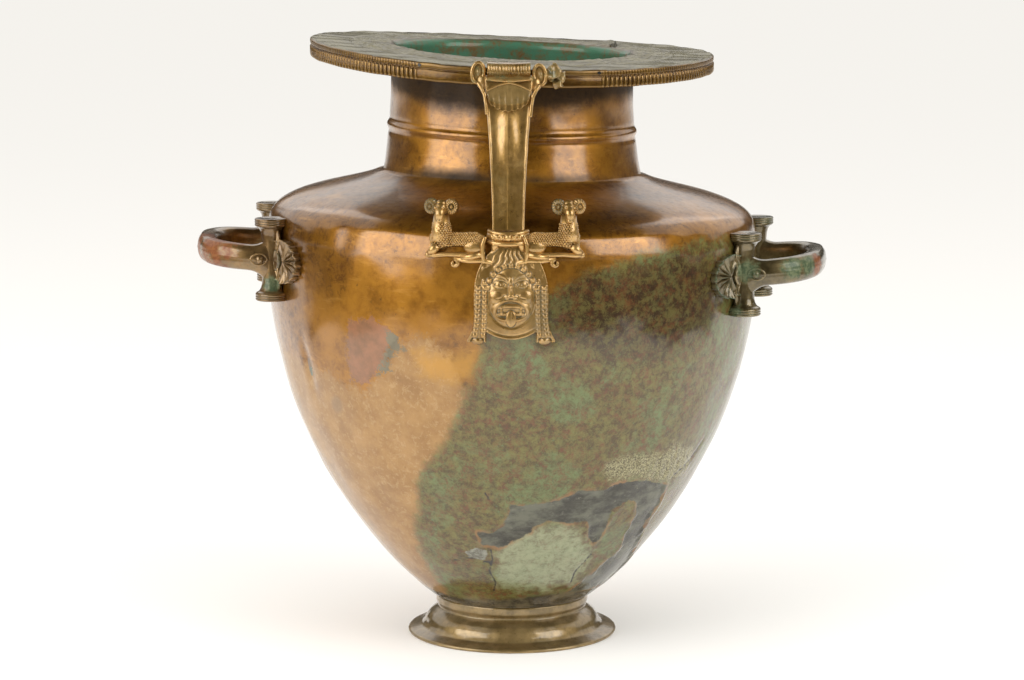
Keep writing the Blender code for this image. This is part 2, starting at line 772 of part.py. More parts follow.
def main():
    clear_scene()
    parts = new_collection("bronze_hydria")
    cutters = new_collection("cutters")
    make_body(parts)
    make_foot(parts)
    make_mouth(parts)
    body_cut = body_envelope(cutters)
    mouth_cut = mouth_envelope(cutters)
    make_vertical_handle(parts, cutters, [body_cut, mouth_cut])
    left = pi + SIDE_HANDLE_LEFT_TURN
    side_handle("side_handle_left", left, SIDE_HANDLE_LEFT_HEIGHT, parts, cutters, [body_cut])
    right = -SIDE_HANDLE_RIGHT_TURN
    side_handle("side_handle_right", right, SIDE_HANDLE_RIGHT_HEIGHT, parts, cutters, [body_cut])


main()
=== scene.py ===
"""Looks of the archaic bronze hydria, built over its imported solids."""

from math import cos, pi, radians, sin

import bpy
import numpy as np
from mathutils import Matrix, Vector


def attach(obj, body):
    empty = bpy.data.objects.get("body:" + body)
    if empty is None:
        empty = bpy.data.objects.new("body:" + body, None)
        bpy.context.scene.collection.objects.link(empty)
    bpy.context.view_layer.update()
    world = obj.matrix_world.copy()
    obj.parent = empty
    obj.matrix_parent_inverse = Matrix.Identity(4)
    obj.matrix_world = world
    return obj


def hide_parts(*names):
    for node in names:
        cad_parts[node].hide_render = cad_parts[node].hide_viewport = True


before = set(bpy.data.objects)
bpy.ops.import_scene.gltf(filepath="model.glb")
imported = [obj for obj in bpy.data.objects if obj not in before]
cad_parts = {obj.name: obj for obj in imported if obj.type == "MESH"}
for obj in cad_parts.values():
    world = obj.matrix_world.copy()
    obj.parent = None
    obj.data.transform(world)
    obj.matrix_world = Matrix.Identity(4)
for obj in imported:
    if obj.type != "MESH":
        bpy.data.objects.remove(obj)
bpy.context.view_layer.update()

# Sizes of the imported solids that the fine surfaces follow
WALL = 0.0015
SEAT_RADIUS = 0.0554
BELLY_RADIUS = 0.1745
BELLY_HEIGHT = 0.2762
SHOULDER_TOP = 0.3345
NECK_BASE_RADIUS = 0.0922
NECK_RADIUS = 0.0858
NECK_RING_HEIGHT = 0.3664
FOOT_RADIUS = 0.0756
FOOT_HEIGHT = 0.0277
FOOT_EDGE = 0.0022
MOUTH_RADIUS = 0.1433
MOUTH_TOP = 0.4221
MOUTH_PLATE = 0.005
OPENING_RADIUS = 0.081
COLLAR_DEPTH = 0.014
BAND_HEIGHT = 0.0126
FILLET_HEIGHT = 0.0038
TONGUE_HEIGHT = 0.0078
TONGUE_DEPTH = 0.0013
TONGUE_COUNT = 250
PLAIN_SECTOR = radians(25.5)
MOUTH_LEAN = 0.045
LEAN_START = 0.12
MOUTH_PITCH = 0.028
MOUTH_SADDLE = 0.0022
STRAP_TOP_WIDTH = 0.033
STRAP_WIDTH = 0.0215
STRAP_THICKNESS = 0.0085
STRAP_BOW = 0.0096
STRAP_BASE_HEIGHT = 0.311
MASK_BOTTOM = 0.2385
MASK_HEIGHT = 0.0635
MASK_WIDTH = 0.048
MASK_SHIFT = 0.0018
RAM_SHIFT = -0.0023
RAM_START = 0.012
RAM_END = 0.052
RAM_HEIGHT = 0.3025
RAM_HEAD_HEIGHT = 0.3245
LEFT_HANDLE_HEIGHT = 0.2793
RIGHT_HANDLE_HEIGHT = 0.2707
LEFT_HANDLE_TURN = radians(5)
RIGHT_HANDLE_TURN = radians(8.4)
SPOOL_SPACING = 0.1075
SPOOL_LENGTH = 0.0585
SPOOL_STANDOFF = 0.005
LOOP_REACH = 0.2242
LOOP_BAR_WIDTH = 0.0142
LOOP_BAR_HEIGHT = 0.0185
LOOP_LIFT = 0.004
FAN_START = 0.008
FAN_LENGTH = 0.031
FAN_HEIGHT = 0.029
FAN_PETALS = 10
GAP = 0.0003

BODY_BOTTOM = FOOT_HEIGHT + GAP
NECK_TOP = MOUTH_TOP - MOUTH_PLATE - GAP
SHOULDER_SPAN = (SHOULDER_TOP - BELLY_HEIGHT) / 0.885
BAND_BOTTOM = MOUTH_TOP - BAND_HEIGHT
TONGUE_TOP = MOUTH_TOP - FILLET_HEIGHT - 0.0005
TONGUE_BOTTOM = TONGUE_TOP - TONGUE_HEIGHT
MM = 0.001

# Patina and damage on the body, as (degrees round from the mask, millimetres up)
GREEN_EDGE = [(-5, 262), (-4, 246), (-7, 236), (-6, 230), (-8, 211), (-10, 205), (-11, 193), (-16, 166), (-22, 149),
              (-27, 132), (-29, 115), (-34, 97), (-38, 76), (-40, 53), (-44, 20), (180, 20), (180, 262), (120, 275),
              (75, 285), (62, 300), (50, 302), (40, 298), (28, 293), (17, 284), (8, 268)]
TAN_ZONE = [(-130, 236), (-100, 222), (-70, 212), (-53, 208), (-43, 201), (-36, 197), (-29, 218), (-26, 233),
            (-19, 238), (-13, 227), (-11, 205), (-5, 200), (-16, 100), (-30, 20), (-180, 20), (-180, 230)]
MAUVE_ZONE = [(-39, 244), (-32, 248), (-28, 244), (-26, 236), (-29, 226), (-29, 214), (-32, 211), (-36, 201),
              (-40, 203), (-41, 217)]
GREY_GREEN_ZONE = [(-29, 241), (-26, 238), (-24, 228), (-27, 225), (-29, 218), (-28, 212), (-32, 210), (-30, 221),
                   (-28, 229)]
ORANGE_ZONE = [(-22, 226), (-16, 227), (-11, 228), (-6, 231), (-8, 212), (-12, 209), (-20, 212)]
SANDY_ZONE = [(26, 148), (33, 151), (45, 150), (48, 156), (60, 147), (65, 128), (54, 125), (38, 134), (29, 134)]
BROWN_ZONE = [(16, 286), (28, 280), (40, 292), (50, 290), (58, 270), (56, 240), (40, 222), (22, 226), (10, 240),
              (9, 262)]
PALE_GREEN_ZONE = [(-3, 92), (9, 101), (21, 100), (28, 86), (34, 74), (34, 56), (18, 45), (-6, 52)]
FILL_ZONE = [(-11, 96), (-10, 86), (-4, 83), (1, 89), (7, 96), (8, 101), (12, 105), (21, 102), (26, 102), (28, 91),
             (32, 83), (34, 87), (34, 97), (34, 109), (39, 116), (43, 113), (45, 104), (46, 90), (49, 72), (42, 62),
             (37, 50), (33, 40), (76, 40), (70, 58), (60, 76), (54, 95), (55, 106), (54, 122), (43, 130), (33, 131),
             (28, 127), (20, 128), (15, 122), (10, 120), (3, 118), (0, 120), (0, 114), (-2, 102), (-6, 96)]
LOST_SHEET_ZONE = [(-17, 79), (-12, 83), (-8, 81), (-10, 73), (-16, 74)]
CRACKS = [[(-23, 71), (-16, 74), (-9, 71), (-6, 73)], [(-7, 82), (-7, 73), (-9, 63), (-7, 53), (-9, 45)],
          [(-7, 128), (-6, 122), (-5, 127)], [(55, 128), (62, 138), (66, 150)], [(34, 74), (30, 60), (31, 50)]]
# Dents as (degrees round, millimetres up, millimetres across, millimetres high, depth in millimetres)
DENTS = [(-57, 208, 5, 15, -2.2), (-53, 215, 12, 20, 0.8), (-38, 301, 11, 9, -1.1), (-30, 296, 9, 8, -0.6),
         (-47, 305, 14, 8, -0.7), (-22, 304, 12, 7, 0.4), (28, 304, 18, 7, 0.4), (46, 300, 10, 9, -0.6),
         (44, 52, 30, 16, 1.8), (-44, 300, 8, 6, 0.5), (12, 180, 30, 36, -0.7), (-30, 150, 34, 30, -0.6),
         (66, 200, 30, 40, -0.8), (-70, 150, 26, 34, 0.7), (130, 240, 34, 30, -1.2), (-140, 190, 30, 30, -1.0),
         (170, 140, 30, 30, 0.8), (52, 110, 16, 20, 0.9)]


# Shape of the vessel

def smooth_step(value):
    value = np.clip(value, 0, 1)
    return value * value * (3 - 2 * value)


def wall_radius(height):
    """Outer radius of the sheet at a height, before the vessel's lean."""
    height = np.asarray(height, float)
    share = np.clip((height - BODY_BOTTOM) / (BELLY_HEIGHT - BODY_BOTTOM), 0, 1)
    belly = SEAT_RADIUS + (BELLY_RADIUS - SEAT_RADIUS) * (1 - (1 - share) ** 2.05) ** 0.877
    share = np.clip((height - BELLY_HEIGHT) / SHOULDER_SPAN, 0, 1)
    shoulder = NECK_BASE_RADIUS + (BELLY_RADIUS - NECK_BASE_RADIUS) * (1 - share ** 6.2) ** 5
    share = np.clip((height - SHOULDER_TOP) / (NECK_TOP - SHOULDER_TOP), 0, 1)
    neck = NECK_RADIUS + (NECK_BASE_RADIUS - NECK_RADIUS) * (1 - share) ** 2.6
    return np.where(height < BELLY_HEIGHT, belly, np.where(height < SHOULDER_TOP, shoulder, neck))


def warped(x, y, z):
    """Height of a point once the leaning body and the warped mouth are allowed for."""
    rise = np.clip((z - LEAN_START) / (MOUTH_TOP - LEAN_START), 0, 1)
    ramp = smooth_step((z - SHOULDER_TOP) / (BAND_BOTTOM - SHOULDER_TOP))
    saddle = MOUTH_SADDLE * (x * x - y * y) / MOUTH_RADIUS ** 2
    return z - MOUTH_LEAN * rise ** 1.8 * x + ramp * (MOUTH_PITCH * y + saddle)


def warp(points):
    x, y, z = points[..., 0], points[..., 1], points[..., 2]
    return np.stack([x, y, warped(x, y, z)], -1)


def waves(points, length, seed, count=14):
    """Smooth random field of about unit size over the points, with a typical wave length."""
    random = np.random.default_rng(seed)
    total = np.zeros(points.shape[:-1])
    for _ in range(count):
        direction = random.normal(size=3)
        direction *= 2 * pi / (length * np.linalg.norm(direction)) * random.uniform(0.6, 1.5)
        total += np.sin(points @ direction + random.uniform(0, 2 * pi))
    return total * (2 / count) ** 0.5


def shaken(points, size, length, seed):
    """Points moved by a smooth random field, as on a worn casting."""
    moves = [waves(points, length, seed + axis) for axis in range(3)]
    return points + size * np.stack(moves, -1)


# Meshes

class Shape:
    """Points and faces of one piece, gathered from simple surfaces."""

    def __init__(self):
        self.points = []
        self.faces = []
        self.tints = []
        self.count = 0

    def sheet(self, points, wrap=True, caps=False, tint=0.0):
        """Quads over a grid of points (rows, columns, 3), closed round its columns if it wraps."""
        rows, columns = points.shape[:2]
        index = np.arange(rows * columns).reshape(rows, columns) + self.count
        upper, lower = index[:-1], index[1:]
        if wrap:
            upper_next, lower_next = np.roll(upper, -1, 1), np.roll(lower, -1, 1)
        else:
            upper, lower, upper_next, lower_next = upper[:, :-1], lower[:, :-1], upper[:, 1:], lower[:, 1:]
        quads = np.stack([upper, lower, lower_next, upper_next], -1).reshape(-1, 4)
        self.faces += quads.tolist()
        if caps:
            self.faces.append(index[0].tolist())
            self.faces.append(index[-1][::-1].tolist())
        self.points.append(points.reshape(-1, 3))
        self.tints.append(np.broadcast_to(tint, points.shape[:2]).reshape(-1).astype(float))
        self.count += rows * columns

    def ball(self, centre, size, turn=None, rings=12, segments=18, tint=0.0, rough=0.0, seed=1):
        """Ellipsoid of the given full sizes, turned by a matrix."""
        down = np.linspace(0.04, pi - 0.04, rings)[:, None]
        around = np.linspace(0, 2 * pi, segments, endpoint=False)[None, :]
        grid = [np.sin(down) * np.cos(around), np.sin(down) * np.sin(around), np.cos(down) + 0 * around]
        points = np.stack(grid, -1) * np.array(size) / 2
        if turn is not None:
            points = points @ np.array(turn.to_3x3()).T
        points = points + np.array(centre)
        if rough:
            points = shaken(points, rough, 0.006, seed)
        self.sheet(points, caps=True, tint=tint)

    def tube(self, path, width, depth=None, sides=16, up=(0, 0, 1), outline=None, tint=0.0):
        """Tube along a path, with half widths across it and along the up direction."""
        path = np.asarray(path, float)
        width = np.broadcast_to(width, len(path))
        depth = width if depth is None else np.broadcast_to(depth, len(path))
        along = np.gradient(path, axis=0)
        along /= np.linalg.norm(along, axis=1, keepdims=True)
        across = np.cross(along, np.array(up, float))
        across /= np.linalg.norm(across, axis=1, keepdims=True) + 1e-12
        rise = np.cross(across, along)
        turn = np.linspace(0, 2 * pi, sides, endpoint=False)
        reach = 1.0 if outline is None else outline
        side = (np.cos(turn) * reach)[None, :, None] * (width[:, None] * np.ones(sides))[..., None]
        top = (np.sin(turn) * reach)[None, :, None] * (depth[:, None] * np.ones(sides))[..., None]
        points = path[:, None, :] + across[:, None, :] * side + rise[:, None, :] * top
        self.sheet(points, caps=True, tint=tint)

    def turned(self, outline, centre=(0, 0, 0), segments=48, tint=0.0):
        """Outline of (radius, height) turned about Z."""
        outline = np.asarray(outline, float)
        around = np.linspace(0, 2 * pi, segments, endpoint=False)
        radius, height = outline[:, :1], outline[:, 1:]
        points = np.stack([radius * np.cos(around), radius * np.sin(around), height + 0 * around], -1)
        self.sheet(points + np.array(centre), tint=tint)

    def placed(self, matrix):
        grid = np.array(matrix)
        self.points = [points @ grid[:3, :3].T + grid[:3, 3] for points in self.points]

    def build(self, name, material, fields=None):
        """Make the object, ride it on the part and hide the node of the same name."""
        mesh = bpy.data.meshes.new(name + "_fine")
        mesh.from_pydata(np.concatenate(self.points).tolist(), [], self.faces)
        mesh.shade_smooth()
        values = dict(fields or {})
        values["tint"] = np.concatenate(self.tints)
        for key, value in values.items():
            layer = mesh.attributes.new(key, "FLOAT", "POINT")
            layer.data.foreach_set("value", np.ascontiguousarray(value, np.float32))
        item = bpy.data.objects.new(name + "_surface", mesh)
        bpy.context.scene.collection.objects.link(item)
        mesh.materials.append(material)
        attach(item, "root")
        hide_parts(name)
        return item


def spread_out(outline, step):
    """Outline with extra points so that none are further apart than a step."""
    points = [np.array(outline[0], float)]
    for end in outline[1:]:
        start = points[-1]
        end = np.array(end, float)
        count = max(1, int(np.ceil(np.linalg.norm(end - start) / step)))
        points += [start + (end - start) * (i + 1) / count for i in range(count)]
    return np.array(points)


def rounded(outline, step, turns=2):
    """Outline with its corners rounded by averaging neighbours."""
    points = spread_out(outline, step)
    for _ in range(turns):
        points[1:-1] = (points[:-2] + 2 * points[1:-1] + points[2:]) / 4
    return points


# Zones on the body

def segment_distance(u, v, start, end):
    du, dv = end[0] - start[0], end[1] - start[1]
    share = np.clip(((u - start[0]) * du + (v - start[1]) * dv) / (du * du + dv * dv + 1e-12), 0, 1)
    return np.hypot(u - start[0] - share * du, v - start[1] - share * dv)


def flat_points(zone):
    """Zone corners as millimetres round the wall from the front and millimetres up."""
    return [(radians(turn) * wall_radius(height * MM) / MM, height) for turn, height in zone]


def zone_depth(u, v, zone):
    """Signed distance in millimetres to a closed zone, positive inside."""
    corners = flat_points(zone)
    nearest = np.full(u.shape, 1e9)
    inside = np.zeros(u.shape, bool)
    for start, end in zip(corners, corners[1:] + corners[:1]):
        nearest = np.minimum(nearest, segment_distance(u, v, start, end))
        crossing = (start[1] > v) != (end[1] > v)
        run = (end[0] - start[0]) * (v - start[1]) / ((end[1] - start[1]) + 1e-12) + start[0]
        inside ^= crossing & (u < run)
    return np.where(inside, nearest, -nearest)


def crack_distance(u, v):
    nearest = np.full(u.shape, 1e9)
    for crack in CRACKS:
        corners = flat_points(crack)
        for start, end in zip(corners, corners[1:]):
            nearest = np.minimum(nearest, segment_distance(u, v, start, end))
    return nearest


# Materials

class Graph:
    """Short way to write a material's nodes."""

    def __init__(self, name):
        self.material = bpy.data.materials.new(name)
        self.material.use_nodes = True
        self.tree = self.material.node_tree
        self.shader = self.tree.nodes["Principled BSDF"]
        place = self.tree.nodes.new("ShaderNodeTexCoord")
        self.place = place.outputs["Object"]

    def put(self, socket, value):
        if isinstance(value, bpy.types.NodeSocket):
            self.tree.links.new(value, socket)
        elif isinstance(value, tuple) and len(value) == 3 and socket.type == "RGBA":
            socket.default_value = (*value, 1)
        else:
            socket.default_value = value

    def math(self, operation, first, second=0.5, clamp=False):
        node = self.tree.nodes.new("ShaderNodeMath")
        node.operation = operation
        node.use_clamp = clamp
        self.put(node.inputs[0], first)
        self.put(node.inputs[1], second)
        return node.outputs[0]

    def noise(self, scale, detail=4.0, rough=0.6, warp_by=0.0, stretch=None):
        node = self.tree.nodes.new("ShaderNodeTexNoise")
        node.inputs["Scale"].default_value = scale
        node.inputs["Detail"].default_value = detail
        node.inputs["Roughness"].default_value = rough
        node.inputs["Distortion"].default_value = warp_by
        source = self.place
        if stretch:
            mapping = self.tree.nodes.new("ShaderNodeMapping")
            mapping.inputs["Scale"].default_value = stretch
            self.put(mapping.inputs["Vector"], source)
            source = mapping.outputs[0]
        self.put(node.inputs["Vector"], source)
        return node.outputs["Fac"]

    def range(self, value, low, high, out_low=0.0, out_high=1.0):
        """Smooth ramp of a value from low to high."""
        node = self.tree.nodes.new("ShaderNodeMapRange")
        node.interpolation_type = "SMOOTHSTEP"
        self.put(node.inputs["Value"], value)
        node.inputs["From Min"].default_value = low
        node.inputs["From Max"].default_value = high
        node.inputs["To Min"].default_value = out_low
        node.inputs["To Max"].default_value = out_high
        return node.outputs["Result"]

    def mix(self, share, first, second):
        node = self.tree.nodes.new("ShaderNodeMix")
        node.data_type = "RGBA"
        self.put(node.inputs[0], share)
        self.put(node.inputs[6], first)
        self.put(node.inputs[7], second)
        return node.outputs[2]

    def blend(self, share, first, second):
        node = self.tree.nodes.new("ShaderNodeMix")
        node.data_type = "FLOAT"
        self.put(node.inputs[0], share)
        self.put(node.inputs[2], first)
        self.put(node.inputs[3], second)
        return node.outputs[0]

    def field(self, name):
        node = self.tree.nodes.new("ShaderNodeAttribute")
        node.attribute_name = name
        return node.outputs["Fac"]

    def edges(self):
        node = self.tree.nodes.new("ShaderNodeNewGeometry")
        return node.outputs["Pointiness"]

    def finish(self, colour, rough, metal, bumps, coat=1.0, coat_rough=0.16):
        """Connect the shader; bumps are (height, distance) pairs."""
        self.put(self.shader.inputs["Coat Weight"], coat)
        self.shader.inputs["Coat Roughness"].default_value = coat_rough
        self.shader.inputs["Coat IOR"].default_value = 1.6
        self.shader.inputs["Specular IOR Level"].default_value = 0.15
        self.put(self.shader.inputs["Base Color"], colour)
        self.put(self.shader.inputs["Roughness"], rough)
        self.put(self.shader.inputs["Metallic"], metal)
        normal = None
        for height, distance in bumps:
            node = self.tree.nodes.new("ShaderNodeBump")
            node.inputs["Distance"].default_value = distance
            node.inputs["Strength"].default_value = 1.0
            self.put(node.inputs["Height"], height)
            if normal is not None:
                self.put(node.inputs["Normal"], normal)
            normal = node.outputs["Normal"]
        self.put(self.shader.inputs["Normal"], normal)
        return self.material


def body_material():
    graph = Graph("body_bronze_look")
    broad = graph.noise(15, 5, 0.6, 0.4)
    middle = graph.noise(55, 6, 0.68)
    fine = graph.noise(260, 6, 0.7)
    grain = graph.noise(900, 3, 0.6)
    streak = graph.noise(45, 5, 0.65, 0.2, (1, 1, 5))
    ragged = graph.math("MULTIPLY", graph.math("SUBTRACT", graph.noise(75, 8, 0.75), 0.5), 22.0)
    torn = graph.math("MULTIPLY", graph.math("SUBTRACT", graph.noise(150, 5, 0.7), 0.5), 6.0)
    frayed = graph.math("MULTIPLY", graph.math("SUBTRACT", graph.noise(210, 8, 0.8, 0.6), 0.5), 26.0)

    def zone(name, soft, edge=ragged):
        return graph.range(graph.math("ADD", graph.field(name), edge), -soft, soft)

    def part(share, factor):
        return graph.math("MULTIPLY", share, factor)

    # Old gold of the cleaned metal
    gold = graph.mix(graph.range(broad, 0.32, 0.68), (0.26, 0.11, 0.008), (0.44, 0.195, 0.02))
    gold = graph.mix(part(graph.range(middle, 0.42, 0.7), 0.75), gold, (0.17, 0.062, 0.004))
    stains = graph.math("MULTIPLY", graph.range(graph.noise(130, 10, 0.86, 0.3), 0.49, 0.58), graph.range(broad, 0.64, 0.38))
    gold = graph.mix(part(stains, 0.8), gold, (0.1, 0.034, 0.003))
    gold = graph.mix(part(graph.range(streak, 0.55, 0.72), 0.5), gold, (0.55, 0.27, 0.05))
    gold = graph.mix(part(graph.range(fine, 0.62, 0.74), 0.7), gold, (0.05, 0.028, 0.01))

    # Matte tan metal at the lower left
    tan = graph.mix(graph.range(middle, 0.3, 0.7), (0.27, 0.138, 0.036), (0.38, 0.212, 0.068))
    tan = graph.mix(part(graph.range(graph.noise(32, 4, 0.65), 0.5, 0.72), 0.6), tan, (0.235, 0.115, 0.03))
    tan = graph.mix(part(graph.range(fine, 0.62, 0.76), 0.45), tan, (0.12, 0.06, 0.02))
    tan = graph.mix(part(graph.range(graph.noise(230, 8, 0.8, 0.5), 0.52, 0.6), 0.5), tan, (0.45, 0.29, 0.13))

    # Green and red-brown patina at the right
    speckle = graph.noise(150, 10, 0.86, 0.3)
    clouds = graph.noise(24, 5, 0.65, 0.3)
    blotch = graph.noise(85, 6, 0.72, 0.3)
    green = graph.mix(graph.range(speckle, 0.4, 0.6), (0.06, 0.034, 0.006), (0.15, 0.135, 0.03))
    green = graph.mix(part(graph.range(clouds, 0.46, 0.62), graph.range(speckle, 0.38, 0.6, 0.15, 0.9)), green, (0.115, 0.165, 0.058))
    rust = graph.math("MULTIPLY", graph.range(graph.noise(190, 10, 0.86, 0.4), 0.45, 0.6), graph.range(blotch, 0.34, 0.62))
    green = graph.mix(part(rust, 0.85), green, (0.14, 0.04, 0.014))
    green = graph.mix(part(graph.range(fine, 0.56, 0.72), 0.6), green, (0.035, 0.03, 0.012))
    green = graph.mix(part(graph.range(graph.noise(420, 5, 0.75), 0.58, 0.7), 0.5), green, (0.09, 0.19, 0.08))
    brown = graph.mix(graph.range(speckle, 0.44, 0.58), (0.022, 0.008, 0.001), (0.085, 0.065, 0.014))
    brown = graph.mix(part(rust, 0.7), brown, (0.11, 0.03, 0.004))

    colour = gold
    tan_share = zone("tan", 4.0, graph.math("ADD", ragged, frayed))
    colour = graph.mix(tan_share, colour, tan)
    colour = graph.mix(part(zone("orange", 7.0), 0.8), colour, (0.48, 0.235, 0.022))
    mauve = graph.mix(graph.range(middle, 0.35, 0.7), (0.27, 0.12, 0.055), (0.16, 0.08, 0.035))
    mauve_share = zone("mauve", 1.6, frayed)
    colour = graph.mix(mauve_share, colour, mauve)
    grey_share = zone("grey_green", 1.0, frayed)
    colour = graph.mix(grey_share, colour, (0.16, 0.135, 0.08))
    spot_share = graph.range(graph.field("spot"), -2.5, 2.0)
    colour = graph.mix(part(spot_share, 0.5), colour, (0.2, 0.13, 0.07))
    green_share = zone("green", 5.0)
    colour = graph.mix(green_share, colour, green)
    brown_share = part(zone("brown", 12.0), 0.85)
    colour = graph.mix(brown_share, colour, brown)
    pale_share = part(zone("pale_green", 6.0), graph.range(speckle, 0.36, 0.6, 0.35, 0.9))
    colour = graph.mix(pale_share, colour, (0.29, 0.315, 0.185))
    sandy = graph.mix(graph.range(grain, 0.38, 0.6), (0.07, 0.055, 0.02), (0.31, 0.28, 0.14))
    sandy_share = part(zone("sandy", 4.0), graph.range(fine, 0.34, 0.5, 0.35, 1.0))
    colour = graph.mix(sandy_share, colour, sandy)

    # Repair fill with its rusty rim, and the cracks
    near_fill = graph.math("ABSOLUTE", graph.math("ADD", graph.field("fill"), torn))
    rim = graph.math("SUBTRACT", 1.0, graph.range(near_fill, 0.3, 3.0))
    rim = graph.math("MULTIPLY", rim, graph.range(graph.noise(60, 3, 0.6), 0.4, 0.62))
    colour = graph.mix(part(rim, 0.75), colour, (0.26, 0.12, 0.04))
    fill = graph.mix(graph.range(graph.noise(40, 6, 0.7, 0.0, (1, 1, 2)), 0.36, 0.64), (0.018, 0.015, 0.007),
                     (0.108, 0.108, 0.074))
    fill = graph.mix(part(graph.range(fine, 0.58, 0.7), 0.5), fill, (0.2, 0.19, 0.14))
    fill_share = graph.range(graph.math("ADD", graph.field("fill"), torn), -0.4, 1.0)
    colour = graph.mix(fill_share, colour, fill)
    lost_share = graph.range(graph.math("ADD", graph.field("lost"), torn), -0.5, 0.5)
    colour = graph.mix(lost_share, colour, graph.mix(graph.range(speckle, 0.42, 0.58), (0.09, 0.085, 0.06), (0.26, 0.26, 0.21)))
    seat_share = zone("seat", 2.0, torn)
    seat = graph.mix(graph.range(middle, 0.4, 0.6), (0.02, 0.018, 0.014), (0.12, 0.1, 0.06))
    colour = graph.mix(seat_share, colour, seat)
    crack_edge = graph.math("ADD", graph.field("crack"), part(torn, 0.25))
    crack_share = graph.range(crack_edge, 0.3, 1.0, 1.0, 0.0)
    colour = graph.mix(crack_share, colour, (0.02, 0.017, 0.013))
    # Painted shade: darkens the neck under the mouth and at its foot, and dulls the metal and its coat there
    neck_shade = graph.range(graph.math("ADD", graph.field("neck_shade"), part(ragged, 0.35)), -5.0, 5.0)
    colour = graph.mix(part(neck_shade, 0.9), colour, (0.012, 0.007, 0.002))
    inside_share = graph.field("inside")
    inner = graph.mix(graph.range(middle, 0.4, 0.6), (0.07, 0.13, 0.09), (0.13, 0.07, 0.03))
    colour = graph.mix(inside_share, colour, inner)

    crust = graph.math("MAXIMUM", green_share, graph.math("MAXIMUM", mauve_share, sandy_share))
    dull = graph.math("MAXIMUM", fill_share, graph.math("MAXIMUM", crack_share, seat_share))
    dull = graph.math("MAXIMUM", dull, neck_shade)
    rough = graph.range(fine, 0.3, 0.75, 0.34, 0.5)
    rough = graph.blend(tan_share, rough, 0.55)
    rough = graph.blend(crust, rough, 0.5)
    rough = graph.blend(dull, rough, 0.62)
    metal = graph.blend(tan_share, 0.88, 0.4)
    metal = graph.blend(crust, metal, 0.15)
    metal = graph.blend(dull, metal, 0.05)
    metal = graph.blend(inside_share, metal, 0.2)
    pits = graph.math("MULTIPLY", fine, graph.blend(crust, 0.3, 0.9))
    coat = graph.blend(neck_shade, 1.0, 0.08)
    return graph.finish(colour, rough, metal, [(pits, 0.00035), (grain, 0.00008), (middle, 0.00035)], coat)


def casting_material(name, light, dark, deposit_and_shade, metal=0.85, rough=0.34, deposit_and_shade_share=0.8):
    """Cast bronze with worn bright edges, and a deposit with painted shade darkening the hollows."""
    graph = Graph(name)
    middle = graph.noise(60, 6, 0.65)
    fine = graph.noise(320, 6, 0.7)
    colour = graph.mix(graph.range(middle, 0.35, 0.65), dark, light)
    colour = graph.mix(graph.math("MULTIPLY", graph.range(fine, 0.56, 0.72), 0.55), colour, (0.05, 0.035, 0.015))
    edges = graph.edges()
    worn = graph.range(edges, 0.51, 0.57)
    bright = tuple(min(1, channel * 1.5) for channel in light)
    colour = graph.mix(graph.math("MULTIPLY", worn, 0.5), colour, bright)
    # Deposit and painted shade: hollows found by low pointiness and the marked recesses take the dark deposit colour,
    # with random deposit patches
    hollow = graph.math("MAXIMUM", graph.range(edges, 0.495, 0.455), graph.field("tint"))
    patches = graph.range(graph.noise(42, 5, 0.65), 0.52, 0.66)
    hollow = graph.math("MAXIMUM", hollow, graph.math("MULTIPLY", patches, 0.45))
    hollow = graph.math("MULTIPLY", hollow, deposit_and_shade_share)
    colour = graph.mix(hollow, colour, deposit_and_shade)
    patina = graph.mix(graph.range(fine, 0.42, 0.6), (0.17, 0.045, 0.014), (0.25, 0.09, 0.03))
    corroded = graph.mix(graph.range(fine, 0.42, 0.6), (0.045, 0.08, 0.04), (0.13, 0.16, 0.085))
    torn = graph.math("MULTIPLY", graph.math("SUBTRACT", graph.noise(150, 6, 0.75), 0.5), 1.5)
    red_share = graph.range(graph.math("ADD", graph.field("red"), torn), 0.35, 0.75)
    green_share = graph.range(graph.math("ADD", graph.field("green"), torn), 0.35, 0.75)
    colour = graph.mix(graph.math("MULTIPLY", red_share, 0.9), colour, patina)
    colour = graph.mix(graph.math("MULTIPLY", green_share, 0.9), colour, corroded)
    dull = graph.math("MAXIMUM", hollow, graph.math("MAXIMUM", red_share, green_share))
    rough_out = graph.blend(dull, graph.range(fine, 0.3, 0.75, rough - 0.05, rough + 0.12), 0.6)
    metal_out = graph.blend(dull, metal, 0.25)
    coat = graph.blend(graph.math("MAXIMUM", red_share, green_share), 1.0, 0.45)
    return graph.finish(colour, rough_out, metal_out, [(fine, 0.00018), (middle, 0.0003)], coat)


